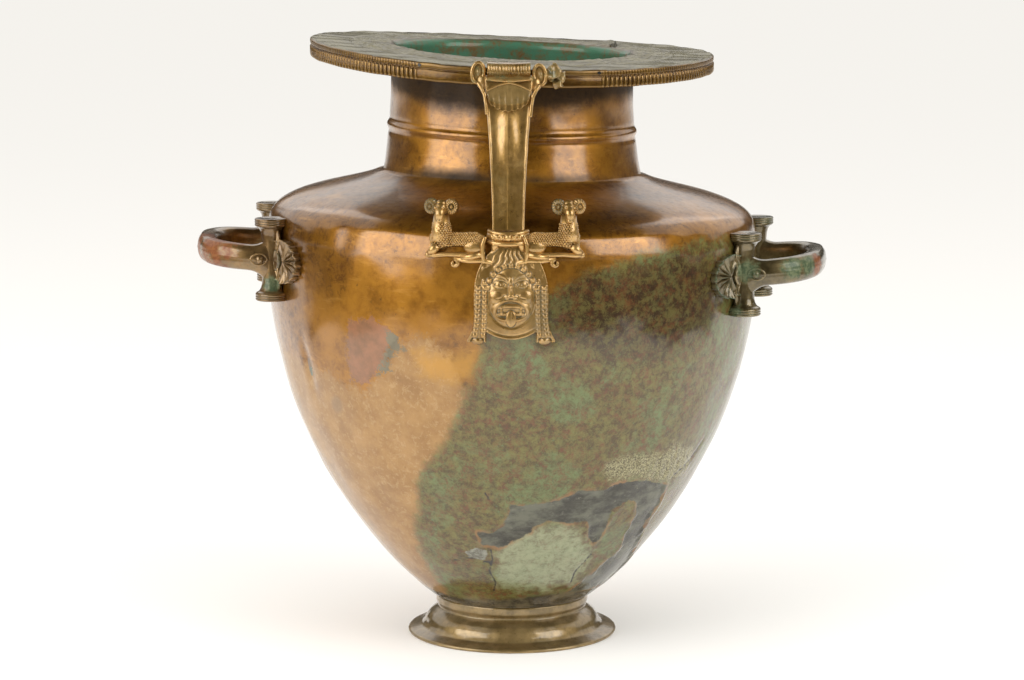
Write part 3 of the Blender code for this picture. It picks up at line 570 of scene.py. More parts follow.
def mouth_material():
    graph = Graph("mouth_bronze_look")
    middle = graph.noise(45, 7, 0.7, 0.3)
    fine = graph.noise(300, 6, 0.7)
    grain = graph.noise(1100, 3, 0.6)
    edge = graph.mix(graph.range(middle, 0.35, 0.65), (0.085, 0.036, 0.003), (0.17, 0.088, 0.014))
    edge = graph.mix(graph.math("MULTIPLY", graph.range(fine, 0.54, 0.68), 0.6), edge, (0.03, 0.02, 0.008))
    worn = graph.range(graph.edges(), 0.51, 0.56)
    edge = graph.mix(graph.math("MULTIPLY", worn, 0.6), edge, (0.38, 0.23, 0.07))
    # The top plate's grey is partly a rough crust and partly painted reflection of the white surroundings
    top = graph.mix(graph.range(middle, 0.35, 0.65), (0.13, 0.11, 0.05), (0.23, 0.205, 0.105))
    top = graph.mix(graph.math("MULTIPLY", graph.range(fine, 0.5, 0.68), 0.75), top, (0.05, 0.042, 0.024))
    lip = graph.mix(graph.range(graph.noise(90, 9, 0.8), 0.44, 0.66), (0.06, 0.17, 0.1), (0.15, 0.075, 0.024))
    colour = graph.mix(graph.field("top"), edge, top)
    colour = graph.mix(graph.field("lip"), colour, lip)
    # Painted shade: near black under the plate, in the tear's gap and in the rivet holes
    colour = graph.mix(graph.field("tint"), colour, (0.008, 0.006, 0.004))
    crust = graph.math("MAXIMUM", graph.field("top"), graph.field("lip"))
    rough = graph.blend(crust, 0.36, 0.5)
    metal = graph.blend(crust, 0.85, 0.3)
    metal = graph.blend(graph.field("tint"), metal, 0.0)
    pits = graph.math("MULTIPLY", fine, graph.blend(graph.field("top"), 0.3, 1.2))
    return graph.finish(colour, rough, metal, [(pits, 0.0005), (grain, 0.0001), (middle, 0.0004)], coat=0.45)


# Body

def body_heights():
    neck = np.linspace(NECK_TOP, SHOULDER_TOP + 0.0006, 58)
    reach = np.linspace(0.003, 0.999, 52)
    shoulder = BELLY_HEIGHT + SHOULDER_SPAN * (1 - reach ** 0.2) ** (1 / 6.2)
    shoulder = shoulder[shoulder < SHOULDER_TOP]
    top = float(shoulder[-1])
    belly = np.linspace(1, 0, 105) ** 1.0 * (top - BODY_BOTTOM - 0.0002) + BODY_BOTTOM
    return np.concatenate([neck, shoulder, belly[1:]])


def make_body():
    around = radians(1) * np.concatenate([np.linspace(-82, 82, 300), np.linspace(82, 278, 102)[1:-1]])
    heights = body_heights()
    turn, height = np.meshgrid(around, heights)
    radius = wall_radius(height)
    u = turn * radius / MM
    u = np.where(turn > pi, (turn - 2 * pi) * radius / MM, u)
    v = height / MM
    fields = {
        "green": zone_depth(u, v, GREEN_EDGE),
        "tan": zone_depth(u, v, TAN_ZONE),
        "orange": zone_depth(u, v, ORANGE_ZONE),
        "mauve": zone_depth(u, v, MAUVE_ZONE),
        "grey_green": zone_depth(u, v, GREY_GREEN_ZONE),
        "brown": zone_depth(u, v, BROWN_ZONE),
        "pale_green": zone_depth(u, v, PALE_GREEN_ZONE),
        "sandy": zone_depth(u, v, SANDY_ZONE),
        "fill": zone_depth(u, v, FILL_ZONE),
        "lost": zone_depth(u, v, LOST_SHEET_ZONE),
        "crack": crack_distance(u, v),
        "spot": 6 - np.hypot(u - radians(-47.7) * wall_radius(0.1832) / MM, v - 183.2),
        "seat": 38.0 + 3 * np.sin(turn * 3) - v,
        "inside": np.zeros(u.shape),
        # Painted shade, darker towards the top of the neck under the mouth's overhang and along a thin line at the
        # neck's foot
        "neck_shade": np.maximum(0.7 * (v - 388), 1.5 - np.abs(v - 337)) + 3 * np.cos(turn * 2 + 0.6),
    }
    base = np.stack([radius * np.sin(turn), -radius * np.cos(turn), height], -1)
    push = 0.22 * waves(base, 0.05, 3) + 0.05 * waves(base, 0.022, 7)
    push *= smooth_step((v - 30) / 25)
    for degrees, up, across, high, depth in DENTS:
        where = radians(degrees)
        off = np.angle(np.exp(1j * (turn - where)))
        push += depth * np.exp(-((off * radius / MM / across) ** 2 + ((v - up) / high) ** 2))
    torn_edge = fields["fill"] + 1.2 * waves(base, 0.012, 11)
    push += -0.8 * smooth_step(torn_edge / 2) + 0.7 * np.exp(-((torn_edge + 1.2) / 1.6) ** 2)
    push += smooth_step(fields["sandy"] / 4) * (0.25 + 0.25 * waves(base, 0.006, 13))
    push += -0.9 * np.exp(-(fields["crack"] / 1.1) ** 2)
    push += 0.12 * smooth_step(fields["green"] / 3) * (1 + 0.3 * waves(base, 0.009, 17))
    neck = smooth_step((v - 338) / 6) * smooth_step((415 - v) / 4)
    ring = (v - NECK_RING_HEIGHT / MM) / 2.1
    push += neck * (1.5 * np.exp(-ring ** 2) - 0.5 * np.exp(-(ring - 2.2) ** 2 * 3) - 0.4 * np.exp(-(ring + 2.1) ** 2 * 3))
    push += neck * 0.35 * np.exp(-((v - 371.5) / 0.8) ** 2)
    outer = radius + push * MM
    points = warp(np.stack([outer * np.sin(turn), -outer * np.cos(turn), height], -1))
    shape = Shape()
    shape.sheet(points)
    inner_heights = heights[::3]
    inner_turn, inner_height = np.meshgrid(around[::4], inner_heights)
    inner_radius = wall_radius(inner_height) - WALL - 0.0004
    inner = [inner_radius * np.sin(inner_turn), -inner_radius * np.cos(inner_turn), inner_height - 0.0006]
    shape.sheet(warp(np.stack(inner, -1))[::-1])
    flat = {key: np.concatenate([value.ravel(), np.full(inner_turn.size, 1.0 if key == "inside" else -50.0)])
            for key, value in fields.items()}
    flat["crack"][u.size:] = 50
    shape.turned([(SEAT_RADIUS - 0.0015, BODY_BOTTOM + 0.0015), (0.0005, BODY_BOTTOM - 0.001)], segments=64)
    shape.turned([(0.0005, BODY_BOTTOM - 0.0025), (SEAT_RADIUS - 0.002, BODY_BOTTOM)], segments=64)
    extra = shape.count - len(flat["green"])
    flat = {key: np.concatenate([value, np.full(extra, value[-1])]) for key, value in flat.items()}
    return shape.build("body", body_material(), flat)


# Foot

def make_foot():
    seat = SEAT_RADIUS - 0.0006
    step = FOOT_HEIGHT - FOOT_EDGE
    outline = [
        (seat - 0.006, FOOT_HEIGHT), (seat, FOOT_HEIGHT), (seat + 0.0003, FOOT_EDGE + step * 0.8),
        (seat - 0.0012, FOOT_EDGE + step * 0.7), (seat - 0.0015, FOOT_EDGE + step * 0.64),
        (seat + 0.0012, FOOT_EDGE + step * 0.57), (seat + 0.0046, FOOT_EDGE + step * 0.47),
        (seat + 0.0072, FOOT_EDGE + step * 0.35), (seat + 0.0086, FOOT_EDGE + step * 0.22),
        (seat + 0.0108, FOOT_EDGE + step * 0.1), (FOOT_RADIUS - 0.0046, FOOT_EDGE * 1.5),
        (FOOT_RADIUS - 0.001, FOOT_EDGE * 1.15), (FOOT_RADIUS, FOOT_EDGE * 0.75), (FOOT_RADIUS, FOOT_EDGE * 0.35),
        (FOOT_RADIUS - 0.0006, 0),
    ]
    under = [(FOOT_RADIUS - 0.0006, 0), (FOOT_RADIUS - 0.0105, 0), (FOOT_RADIUS - 0.015, FOOT_EDGE * 2),
             (seat - 0.0045, FOOT_EDGE + step * 0.6), (seat - 0.009, FOOT_HEIGHT)]
    shape = Shape()
    for line, turns in ((outline, 2), (under, 1)):
        points = rounded(line, 0.0007, turns)
        around = np.linspace(0, 2 * pi, 260, endpoint=False)
        radius = points[:, :1] + 0 * around
        height = points[:, 1:] + 0 * around
        grid = np.stack([radius * np.cos(around), radius * np.sin(around), height], -1)
        wear = 0.00007 * waves(grid, 0.012, 23) * smooth_step(height / 0.004)
        reach = (radius + wear) / radius
        grid[..., :2] *= reach[..., None]
        shape.sheet(grid)
    look = casting_material("foot_bronze_look", (0.36, 0.25, 0.105), (0.21, 0.145, 0.055), (0.1, 0.085, 0.035),
                            rough=0.4, deposit_and_shade_share=0.5)
    return shape.build("foot", look)


# Mouth

def from_front(turn):
    """Angle away from the vertical handle."""
    return np.abs(np.angle(np.exp(1j * (turn + pi / 2))))


def make_mouth():
    shape = Shape()
    tops, lips = [], []

    def keep(grid, top=0.0, lip=0.0, tint=0.0, wrap=True, caps=False):
        shape.sheet(warp(grid), wrap=wrap, caps=caps, tint=tint)
        tops.append(np.broadcast_to(top, grid.shape[:2]).ravel())
        lips.append(np.broadcast_to(lip, grid.shape[:2]).ravel())

    # Top plate, the rounded inner lip and the collar down into the neck
    around = np.linspace(0, 2 * pi, 360, endpoint=False)
    profile = rounded([(MOUTH_RADIUS - 0.0004, MOUTH_TOP - 0.0007), (MOUTH_RADIUS - 0.0016, MOUTH_TOP),
                       (OPENING_RADIUS + 0.004, MOUTH_TOP), (OPENING_RADIUS + 0.0008, MOUTH_TOP - 0.0022),
                       (OPENING_RADIUS, MOUTH_TOP - 0.005), (OPENING_RADIUS + 0.0008, MOUTH_TOP - 0.0185),
                       (NECK_RADIUS - WALL - 0.0004, MOUTH_TOP - 0.0189)], 0.0009, 2)
    radius = profile[:, :1] + 0 * around
    height = profile[:, 1:] + 0 * around
    grid = np.stack([radius * np.cos(around), radius * np.sin(around), height], -1)
    flat_part = smooth_step((radius - OPENING_RADIUS - 0.003) / 0.004) * smooth_step((MOUTH_RADIUS - radius) / 0.002)
    rough_part = flat_part * smooth_step((0.1135 - radius) / 0.002)
    groove = np.exp(-((radius - 0.114) / 0.0011) ** 2)
    outer_groove = np.exp(-((radius - 0.1385) / 0.0007) ** 2)
    lift = -0.0006 * groove - 0.0003 * outer_groove
    lift = lift + 0.00022 * rough_part * waves(grid, 0.006, 31) + 0.00025 * flat_part * waves(grid, 0.03, 37)
    # Torn sheet at the right back, with one edge of the tear standing up and painted shade in the gap beside it
    turn = around[None, :] + 0 * radius
    tear = (turn - radians(32)) - (radius - OPENING_RADIUS) * 9
    reach = smooth_step((radius - 0.084) / 0.004) * smooth_step((0.132 - radius) / 0.01)
    lift = lift + 0.0024 * reach * np.exp(-np.clip(tear, 0, 9) / 0.12) * (tear > 0) * flat_part
    lift = lift - 0.0016 * reach * np.exp(-np.clip(-tear, 0, 9) / 0.03) * (tear <= 0) * flat_part
    grid[..., 2] += lift
    lip = smooth_step((OPENING_RADIUS + 0.005 - radius) / 0.004)
    tear_gap_shade = 0.9 * reach * np.exp(-(tear / 0.022) ** 2) * (tear < 0.01)
    keep(grid, top=flat_part, lip=lip, tint=tear_gap_shade)

    # Edge: beaded fillet over the band of tongues, plain at the vertical handle
    count = TONGUE_COUNT * 6
    around = np.linspace(0, 2 * pi, count, endpoint=False)
    plain = smooth_step((PLAIN_SECTOR + 0.01 - from_front(around)) / 0.01)
    rib = np.abs(np.sin(around * TONGUE_COUNT / 2)) ** 0.55
    levels = [
        (MOUTH_RADIUS - 0.0016, MOUTH_TOP - 0.0002, 0, 0), (MOUTH_RADIUS - 0.0005, MOUTH_TOP - 0.0006, 0, 0.3),
        (MOUTH_RADIUS - 0.0003, MOUTH_TOP - 0.0013, 0, 1), (MOUTH_RADIUS - 0.0003, MOUTH_TOP - FILLET_HEIGHT + 0.0007, 0, 1),
        (MOUTH_RADIUS - 0.0006, MOUTH_TOP - FILLET_HEIGHT, 0, 0.3), (MOUTH_RADIUS - 0.0016, TONGUE_TOP + 0.0002, 0, 0),
        (MOUTH_RADIUS - 0.0007, TONGUE_TOP - 0.0004, 0.6, 0), (MOUTH_RADIUS - 0.0001, TONGUE_TOP - 0.0014, 1, 0),
        (MOUTH_RADIUS - 0.0001, TONGUE_TOP - 0.0035, 1, 0), (MOUTH_RADIUS - 0.0001, TONGUE_BOTTOM + 0.0022, 1, 0),
        (MOUTH_RADIUS - 0.0003, TONGUE_BOTTOM + 0.0008, 0.9, 0), (MOUTH_RADIUS - 0.0009, TONGUE_BOTTOM, 0.5, 0),
        (MOUTH_RADIUS - 0.0032, BAND_BOTTOM + 0.0003, 0, 0), (MOUTH_RADIUS - 0.0058, BAND_BOTTOM, 0, 0),
    ]
    bead = 0.5 + 0.5 * np.cos(around * TONGUE_COUNT * 1.5)
    rows = []
    for level, height, tongue, beads in levels:
        radius = level - TONGUE_DEPTH * tongue * (1 - rib) * (1 - plain) - 0.00035 * beads * bead * (1 - plain)
        radius = radius - 0.0004 * tongue * plain
        rows.append(np.stack([radius * np.cos(around), radius * np.sin(around), height + 0 * around], -1))
    grid = np.stack(rows)
    grid[..., 2] += 0.0001 * waves(grid, 0.02, 41)
    keep(grid)

    # Underside, painted nearly black as the shade under the overhanging plate
    around = np.linspace(0, 2 * pi, 240, endpoint=False)
    under = MOUTH_TOP - MOUTH_PLATE
    profile = rounded([(MOUTH_RADIUS - 0.0057, BAND_BOTTOM), (MOUTH_RADIUS - 0.0072, BAND_BOTTOM + 0.0008),
                       (MOUTH_RADIUS - 0.0115, under), (NECK_RADIUS - 0.001, under)], 0.003, 1)
    radius = profile[:, :1] + 0 * around
    height = profile[:, 1:] + 0 * around
    keep(np.stack([radius * np.cos(around), radius * np.sin(around), height], -1), tint=0.85)
    profile = np.array([(NECK_RADIUS - WALL - GAP, under), (NECK_RADIUS - WALL - GAP, under - COLLAR_DEPTH)])
    radius = profile[:, :1] + 0 * around
    keep(np.stack([radius * np.cos(around), radius * np.sin(around), profile[:, 1:] + 0 * around], -1))

    # Rivet holes at the ends of the plain sector, as flat discs painted black for the shade inside them
    for side in (-1, 1):
        turn = -pi / 2 + side * (PLAIN_SECTOR - 0.012)
        down = np.linspace(0.05, pi / 2, 5)[:, None]
        spin = np.linspace(0, 2 * pi, 18, endpoint=False)[None, :]
        sideways = 0.0012 * np.sin(down) * np.cos(spin)
        up = 0.0012 * np.sin(down) * np.sin(spin)
        radius = MOUTH_RADIUS + 0.00012 + 0 * (down + spin)
        angle = turn + sideways / MOUTH_RADIUS
        height = MOUTH_TOP - 0.0021 + up
        keep(np.stack([radius * np.cos(angle), radius * np.sin(angle), height], -1), tint=1.0)
    fields = {"top": np.concatenate(tops), "lip": np.concatenate(lips)}
    return shape.build("mouth", mouth_material(), fields)


# Vertical handle

def on_wall(across, height, proud):
    """Points on the front wall: a distance across it, a height, and how far it stands out."""
    radius = wall_radius(height)
    turn = across / radius - pi / 2
    radius = radius + proud
    return np.stack([radius * np.cos(turn), radius * np.sin(turn), height + 0 * turn], -1)


def along_wall(across, height, proud):
    """Point in front of the belly wall at its widest, so that a figure above it stands upright."""
    radius = wall_radius(RAM_HEIGHT) + proud
    across = across + RAM_SHIFT
    return np.array([across, -np.sqrt(radius ** 2 - across ** 2), height])


def mask_half_width(share):
    """Half width of the mask at a share of its height: a domed head and straight locks."""
    dome = np.sqrt(np.clip(1 - np.clip((share - 0.5) / 0.52, 0, 9) ** 2, 0, 1))
    flare = 0.16 * np.clip(1 - share / 0.16, 0, 9) ** 1.3
    return MASK_WIDTH / 2 * (dome * (0.97 + 0.04 * (1 - share)) + flare)


def mask_relief(x, z):
    """Depth of the gorgon mask in millimetres at x across and z above its bottom."""

    def dome(cx, cz, rx, rz, high, power=0.5):
        return high * np.clip(1 - ((x - cx) / rx) ** 2 - ((z - cz) / rz) ** 2, 0, 1) ** power

    def line(points, wide, high, power=0.6):
        nearest = np.full(x.shape, 1e9)
        for start, end in zip(points, points[1:]):
            nearest = np.minimum(nearest, segment_distance(x, z, start, end))
        return high * np.clip(1 - (nearest / wide) ** 2, 0, 1) ** power

    def arc(cx, cz, rx, rz, first, last, count=14):
        turns = np.linspace(radians(first), radians(last), count)
        return [(cx + rx * cos(turn), cz + rz * sin(turn)) for turn in turns]

    side = np.abs(x)
    share = z / (MASK_HEIGHT / MM)
    half = mask_half_width(share) / MM
    deep = 2.2 + 0 * x
    # Wavy hair drawn out of the collar, and a rim along the head
    hair = dome(0, 41, 23, 25, 2.3)
    fanned = np.arctan2(x, 70 - z)
    strands = 0.8 * np.cos(fanned * 30 + 0.9 * np.sin(z * 0.8)) * smooth_step((z - 46) / 4)
    deep = np.maximum(deep, 1.5 + hair + strands)
    border = 0.7 + 0.5 * np.abs(np.sin(np.arctan2(x, z - 32) * 13))
    deep = deep + border * np.exp(-((half - 1.8 - side) / 1.0) ** 2) * smooth_step((z - 38) / 4)
    # Curls round the forehead
    for i in range(11):
        turn = radians(14 + 152 * i / 10)
        deep = np.maximum(deep, 3.5 + dome(15.9 * cos(turn), 30.5 + 19.2 * sin(turn), 2.0, 2.0, 1.7))
    # Face
    face_edge = ((x / 14.6) ** 2 + ((z - 29.2) / 19.4) ** 2) ** 0.5
    deep = np.where(face_edge < 1.14, deep - 0.8 * np.exp(-((face_edge - 1.05) / 0.05) ** 2), deep)
    face = 2.5 + 3.0 * np.clip(1 - face_edge ** 2.6, 0, 1) ** 0.5
    deep = np.where(face_edge < 1, np.maximum(face, 2.4), deep)
    for mirror in (1, -1):
        deep = deep + dome(mirror * 9.4, 29.0, 4.4, 3.8, 0.85)
        deep = deep + line([(mirror * a, b) for a, b in arc(7.6, 38.6, 6.2, 4.8, 15, 168)], 1.05, 0.7)
        deep = deep - dome(mirror * 7.4, 37.6, 5.0, 3.0, 0.9)
        deep = deep + dome(mirror * 7.4, 37.4, 2.9, 2.1, 1.25)
        deep = deep + line([(mirror * a, b) for a, b in arc(7.4, 36.9, 4.1, 2.6, 5, 175)], 0.5, 0.6)
        deep = deep + line([(mirror * a, b) for a, b in arc(7.4, 37.8, 4.1, 2.4, 185, 355)], 0.5, 0.5)
        deep = deep - dome(mirror * 7.2, 37.5, 0.7, 0.7, 0.5)
        deep = deep + dome(mirror * 2.2, 29.2, 1.6, 1.5, 0.95)
        deep = deep - line([(mirror * 4.0, 30.6), (mirror * 6.2, 28.6), (mirror * 9.0, 27.9)], 0.5, 0.35)
    deep = deep + line([(0, 41.5), (0, 35)], 1.3, 1.1) + line([(0, 36), (0, 30)], 1.8, 1.7)
    # Wide mouth with a raised lip, rows of teeth, fangs and the tongue
    low = z - 19.6 + 0.012 * x * x - 0.6
    mouth = ((x / 11.2) ** 2 + (low / 7.0) ** 2) ** 0.5
    deep = deep + 0.95 * np.exp(-((mouth - 1) / 0.12) ** 2) - 1.2 * smooth_step((0.9 - mouth) / 0.12)
    inner = smooth_step((0.86 - mouth) / 0.08)
    gap = 0.72 + 0.28 * np.clip(np.abs(np.sin(x * 1.35)) * 3, 0, 1)
    for middle, tall in ((2.9, 1.5), (-2.4, 1.3)):
        row = np.clip(1 - ((low - middle) / tall) ** 4, 0, 1)
        deep = deep + inner * row * gap * 1.0
    tongue = ((x / 3.4) ** 2 + ((z - 14.6) / 5.6) ** 2) ** 0.5
    tongue_face = 5.3 + 1.0 * np.clip(1 - tongue ** 2, 0, 1) ** 0.5 - 0.35 * np.exp(-(x / 0.35) ** 2)
    deep = np.where(tongue < 1, np.maximum(deep, tongue_face), deep)
    for mirror in (1, -1):
        deep = deep + dome(mirror * 6.4, 19.4, 0.9, 3.0, 0.8)
        deep = np.maximum(deep, 3.0 + dome(mirror * 17.2, 36.5, 2.3, 3.6, 1.5))
        deep = deep - dome(mirror * 17.3, 36.3, 1.0, 2.0, 0.9)
    # Two beaded locks on each side, with flared tips
    for inner_track, outer_track, wide, top in ((17.2, 18.6, 2.0, 42.0), (21.4, 24.4, 2.3, 38.0)):
        bottom = -1.6
        track = inner_track + (outer_track - inner_track) * np.clip(1 - (z - bottom) / (top - bottom), 0, 1) ** 2.2
        off = (side - track) / wide
        bead = 0.6 + 0.4 * np.abs(np.sin(pi * (z - bottom) / 3.2)) ** 0.6
        lock = np.where((z > bottom) & (z < top), np.clip(1 - off ** 2, 0, 1) ** 0.5, 0)
        end = smooth_step((z - bottom) / 1.2) * smooth_step((top - z) / 2)
        deep = np.maximum(deep, 2.0 + 3.1 * lock * bead * end - 2.0 * (lock <= 0))
    # Plain plate under the chin, with a rim along its lower edge
    hem = z - 0.02 * x * x
    between = smooth_step((15.8 - side) / 0.8)
    deep = deep + between * 0.8 * np.exp(-((hem - 1.1) / 0.7) ** 2)
    deep = deep - between * 0.3 * np.exp(-((hem - 2.9) / 0.5) ** 2)
    lower = np.where(side < 16.4, 0.02 * x * x - 0.1, -1.8)
    outside = (side > half + 0.6) | (z < lower) | (z > MASK_HEIGHT / MM)
    tip = np.hypot((side - 22.0) / 4.6, (z + 0.6) / 3.2)
    on_tip = (z < 1.2) & (tip < 1) & (side > 16.4)
    outside &= ~on_tip
    deep = np.where(on_tip, np.maximum(1.6, 4.6 * np.clip(1.12 - tip, 0, 1) ** 0.5), deep)
    return np.where(outside, -1.6, deep)


def strap_ends():
    top = (-(MOUTH_RADIUS + STRAP_THICKNESS * 0.35), float(warped(0, -MOUTH_RADIUS, MOUTH_TOP)) - 0.004)
    base = (-(float(wall_radius(STRAP_BASE_HEIGHT)) + 0.0045), STRAP_BASE_HEIGHT)
    return top, base


def strap_at(share):
    """Middle line of the strap and half its width at a share of its way down."""
    top, base = strap_ends()
    y = top[0] + (base[0] - top[0]) * share - STRAP_BOW * share ** 0.3 * (1 - share) ** 1.5
    z = top[1] + (base[1] - top[1]) * share
    half = (STRAP_WIDTH + (STRAP_TOP_WIDTH - STRAP_WIDTH) * (1 - share) ** 1.6) / 2
    return y, z, half


def strap_depth(across, share):
    """Thickness of the strap across it: two flutes that fade out towards both ends, and thin edges."""
    depth = 0.02 + 0.12 * smooth_step((share - 0.16) / 0.14) * (1 - smooth_step((share - 0.38) / 0.28))
    flutes = depth * np.cos(pi * across / 0.72)
    edge = 0.035 * np.exp(-((np.abs(across) - 0.93) / 0.04) ** 2)
    ridge = 0.02 * np.exp(-(across / 0.06) ** 2)
    fall = 0.3 * np.clip((np.abs(across) - 0.95) / 0.05, 0, 1) ** 2
    return STRAP_THICKNESS * (0.91 + flutes + edge + ridge - fall)


def strap_front(x, z):
    """Front surface of the strap at a place across it and a height."""
    top, base = strap_ends()
    share = np.clip((top[1] - z) / (top[1] - base[1]), 0, 1)
    y, _, half = strap_at(share)
    return y + STRAP_THICKNESS / 2 - strap_depth(np.clip(x / half, -0.9, 0.9), share)


def add_strap(shape):
    rows = []
    for share in np.linspace(0, 1, 90):
        y, z, half = strap_at(share)
        back = y + STRAP_THICKNESS / 2
        across = np.linspace(-1, 1, 56)
        front = np.stack([across * half, back - strap_depth(across, share), z + 0 * across], -1)
        inner = np.linspace(0.94, -0.94, 12)
        rear = np.stack([inner * half, back - STRAP_THICKNESS * 0.1 * inner ** 8, z + 0 * inner], -1)
        rows.append(np.concatenate([front, rear]))
    shape.sheet(shaken(np.stack(rows), 0.00004, 0.012, 51), caps=True)


def add_head(shape):
    """Striated block over the mouth's edge, arch, shell, dished bosses and what is left beside one."""
    edge = float(warped(0, -MOUTH_RADIUS, MOUTH_TOP))
    crown = edge + 0.0048
    front = -(MOUTH_RADIUS + 0.0102)
    across = np.linspace(-1, 1, 140)
    ribs = 0.0004 * np.abs(np.sin(across * pi * 7.5 + 0.6 * np.sin(across * 9))) ** 0.6
    rows = []
    section = [(-(MOUTH_RADIUS - 0.0068), edge + 0.0006), (-(MOUTH_RADIUS - 0.0064), crown - 0.0008),
               (-(MOUTH_RADIUS - 0.0052), crown), (-(MOUTH_RADIUS + 0.004), crown), (front + 0.0022, crown - 0.0006),
               (front + 0.0006, crown - 0.0024), (front, crown - 0.0045), (front + 0.0004, crown - 0.0072),
               (front + 0.0016, crown - 0.0090), (front + 0.0040, crown - 0.0100)]
    for y, z in rounded(section, 0.0008, 2):
        waist = 0.0010 * (1 - across ** 2)
        striped = ribs * (z < crown - 0.0008)
        rows.append(np.stack([across * 0.0143, y - striped + waist, z - waist * 0.6 + striped * 0.3], -1))
    shape.sheet(np.stack(rows), wrap=False)
    for side in (-1, 1):
        end = np.array([row[0 if side < 0 else -1] for row in rows])
        middle = end.mean(0)
        shape.sheet(np.stack([end, np.broadcast_to(middle, end.shape)]), wrap=False)

    # Moulding under the block and the arch over the shell
    span = np.linspace(-1, 1, 40)

    def on_strap(x, z, proud):
        return np.stack([x, strap_front(x, z) - proud, z], -1)

    upper = on_strap(span * 0.0150, crown - 0.0108 - 0.0012 * (1 - span ** 2), 0.0026)
    shape.tube(upper, 0.0011, sides=10, up=(0, -1, 0))
    # The lens under the moulding is marked for the deposit and painted shade of the hollows
    lens = [on_strap(span * 0.0144, crown - 0.0100 - down * (0.0034 - 0.0008 * span ** 2), 0.0012)
            for down in np.linspace(0, 1, 6)]
    shape.sheet(np.stack(lens), wrap=False, tint=0.35)
    arch_height = crown - 0.0134 - 0.0050 * np.abs(span) ** 1.6
    shape.tube(on_strap(span * 0.0147, arch_height, 0.0021), 0.0008, sides=10, up=(0, -1, 0))

    # Hollow shell whose scalloped lower edge stands off the strap
    span = np.linspace(-1, 1, 169)
    lobes = np.abs(np.sin(3.5 * pi * (span + 1)))
    high = crown - 0.0134 - 0.0050 * np.abs(span) ** 1.6
    low = crown - 0.0222 - 0.0088 * np.clip(1 - span ** 2, 0, 1) ** 0.6 - 0.0011 * lobes ** 0.7
    grid = []
    for reach in np.linspace(0, 1, 30):
        z = high + (low - high) * reach
        rib = 0.0002 * (1 - lobes ** 0.6) * smooth_step(reach * 2)
        proud = 0.0017 - 0.0010 * sin(pi * reach) + 0.0014 * reach ** 5 + rib
        grid.append(on_strap(span * (0.0145 - 0.0006 * reach), z, proud))
    outer = on_strap(span * 0.0140, low - 0.0003, -0.0006)
    # The shell's face is marked for the deposit and painted shade of a hollow
    depth = np.concatenate([np.full(23, 0.55), np.zeros(8)])[:, None]
    shape.sheet(np.stack(grid + [outer]), wrap=False, tint=depth)

    # Dished bosses with thick rims, and the stalks that carry them
    for side in (-1, 1):
        level = crown - (0.0070 if side < 0 else 0.0086)
        lean = np.array(Matrix.Rotation(side * -0.12, 4, "Y").to_3x3()).T
        centre = np.array([side * 0.0205, -(MOUTH_RADIUS + 0.0062), level])
        turns = np.linspace(0, 2 * pi, 40)
        ring = np.stack([0.0040 * np.cos(turns), 0 * turns, 0.0067 * np.sin(turns)], -1) @ lean + centre
        shape.tube(ring, 0.0012, sides=10, up=(0, -1, 0))
        turns = turns[:-1]
        # The dished faces are marked for the deposit and painted shade of the hollows
        dish = [np.stack([0.0040 * r * np.cos(turns), 0.0034 * (1 - r * r) + 0 * turns, 0.0067 * r * np.sin(turns)], -1)
                for r in np.linspace(1, 0.03, 12)]
        shape.sheet(np.stack(dish) @ lean + centre, caps=True, tint=0.55)
        back = [np.stack([0.0048 * r * np.cos(turns), y + 0 * turns, 0.0076 * r * np.sin(turns)], -1)
                for y, r in ((0.0002, 0.98), (0.0018, 1.04), (0.0042, 1.0), (0.0065, 0.85), (0.0082, 0.5))]
        shape.sheet(np.stack(back) @ lean + centre, caps=True)
        stalk_z = np.array([level - 0.0062, level - 0.0096, level - 0.0140, level - 0.0200, level - 0.0270])
        stalk_x = side * np.array([0.0204, 0.0182, 0.0160, 0.0150, 0.0143])
        stalk = np.stack([stalk_x, strap_front(stalk_x, stalk_z) - [0.0008, 0.0012, 0.0010, 0.0006, -0.0004], stalk_z], -1)
        shape.tube(spread_out(stalk, 0.0012), 0.0012, sides=10, up=(0, -1, 0))
        shape.ball((side * 0.0172, -(MOUTH_RADIUS + 0.0040), level - 0.0060), (0.0090, 0.0085, 0.0110), None, 14, 20)
    for spot, size, seed in (((0.0296, 0.0030, -0.0070), (0.0100, 0.0070, 0.0120), 5),
                             ((0.0338, 0.0022, -0.0105), (0.0070, 0.0056, 0.0080), 6),
                             ((0.0322, 0.0030, -0.0150), (0.0060, 0.0056, 0.0060), 7)):
        place = (spot[0], -(MOUTH_RADIUS + spot[1]), crown + spot[2])
        shape.ball(place, size, None, 18, 26, 0.5, 0.0006, seed)


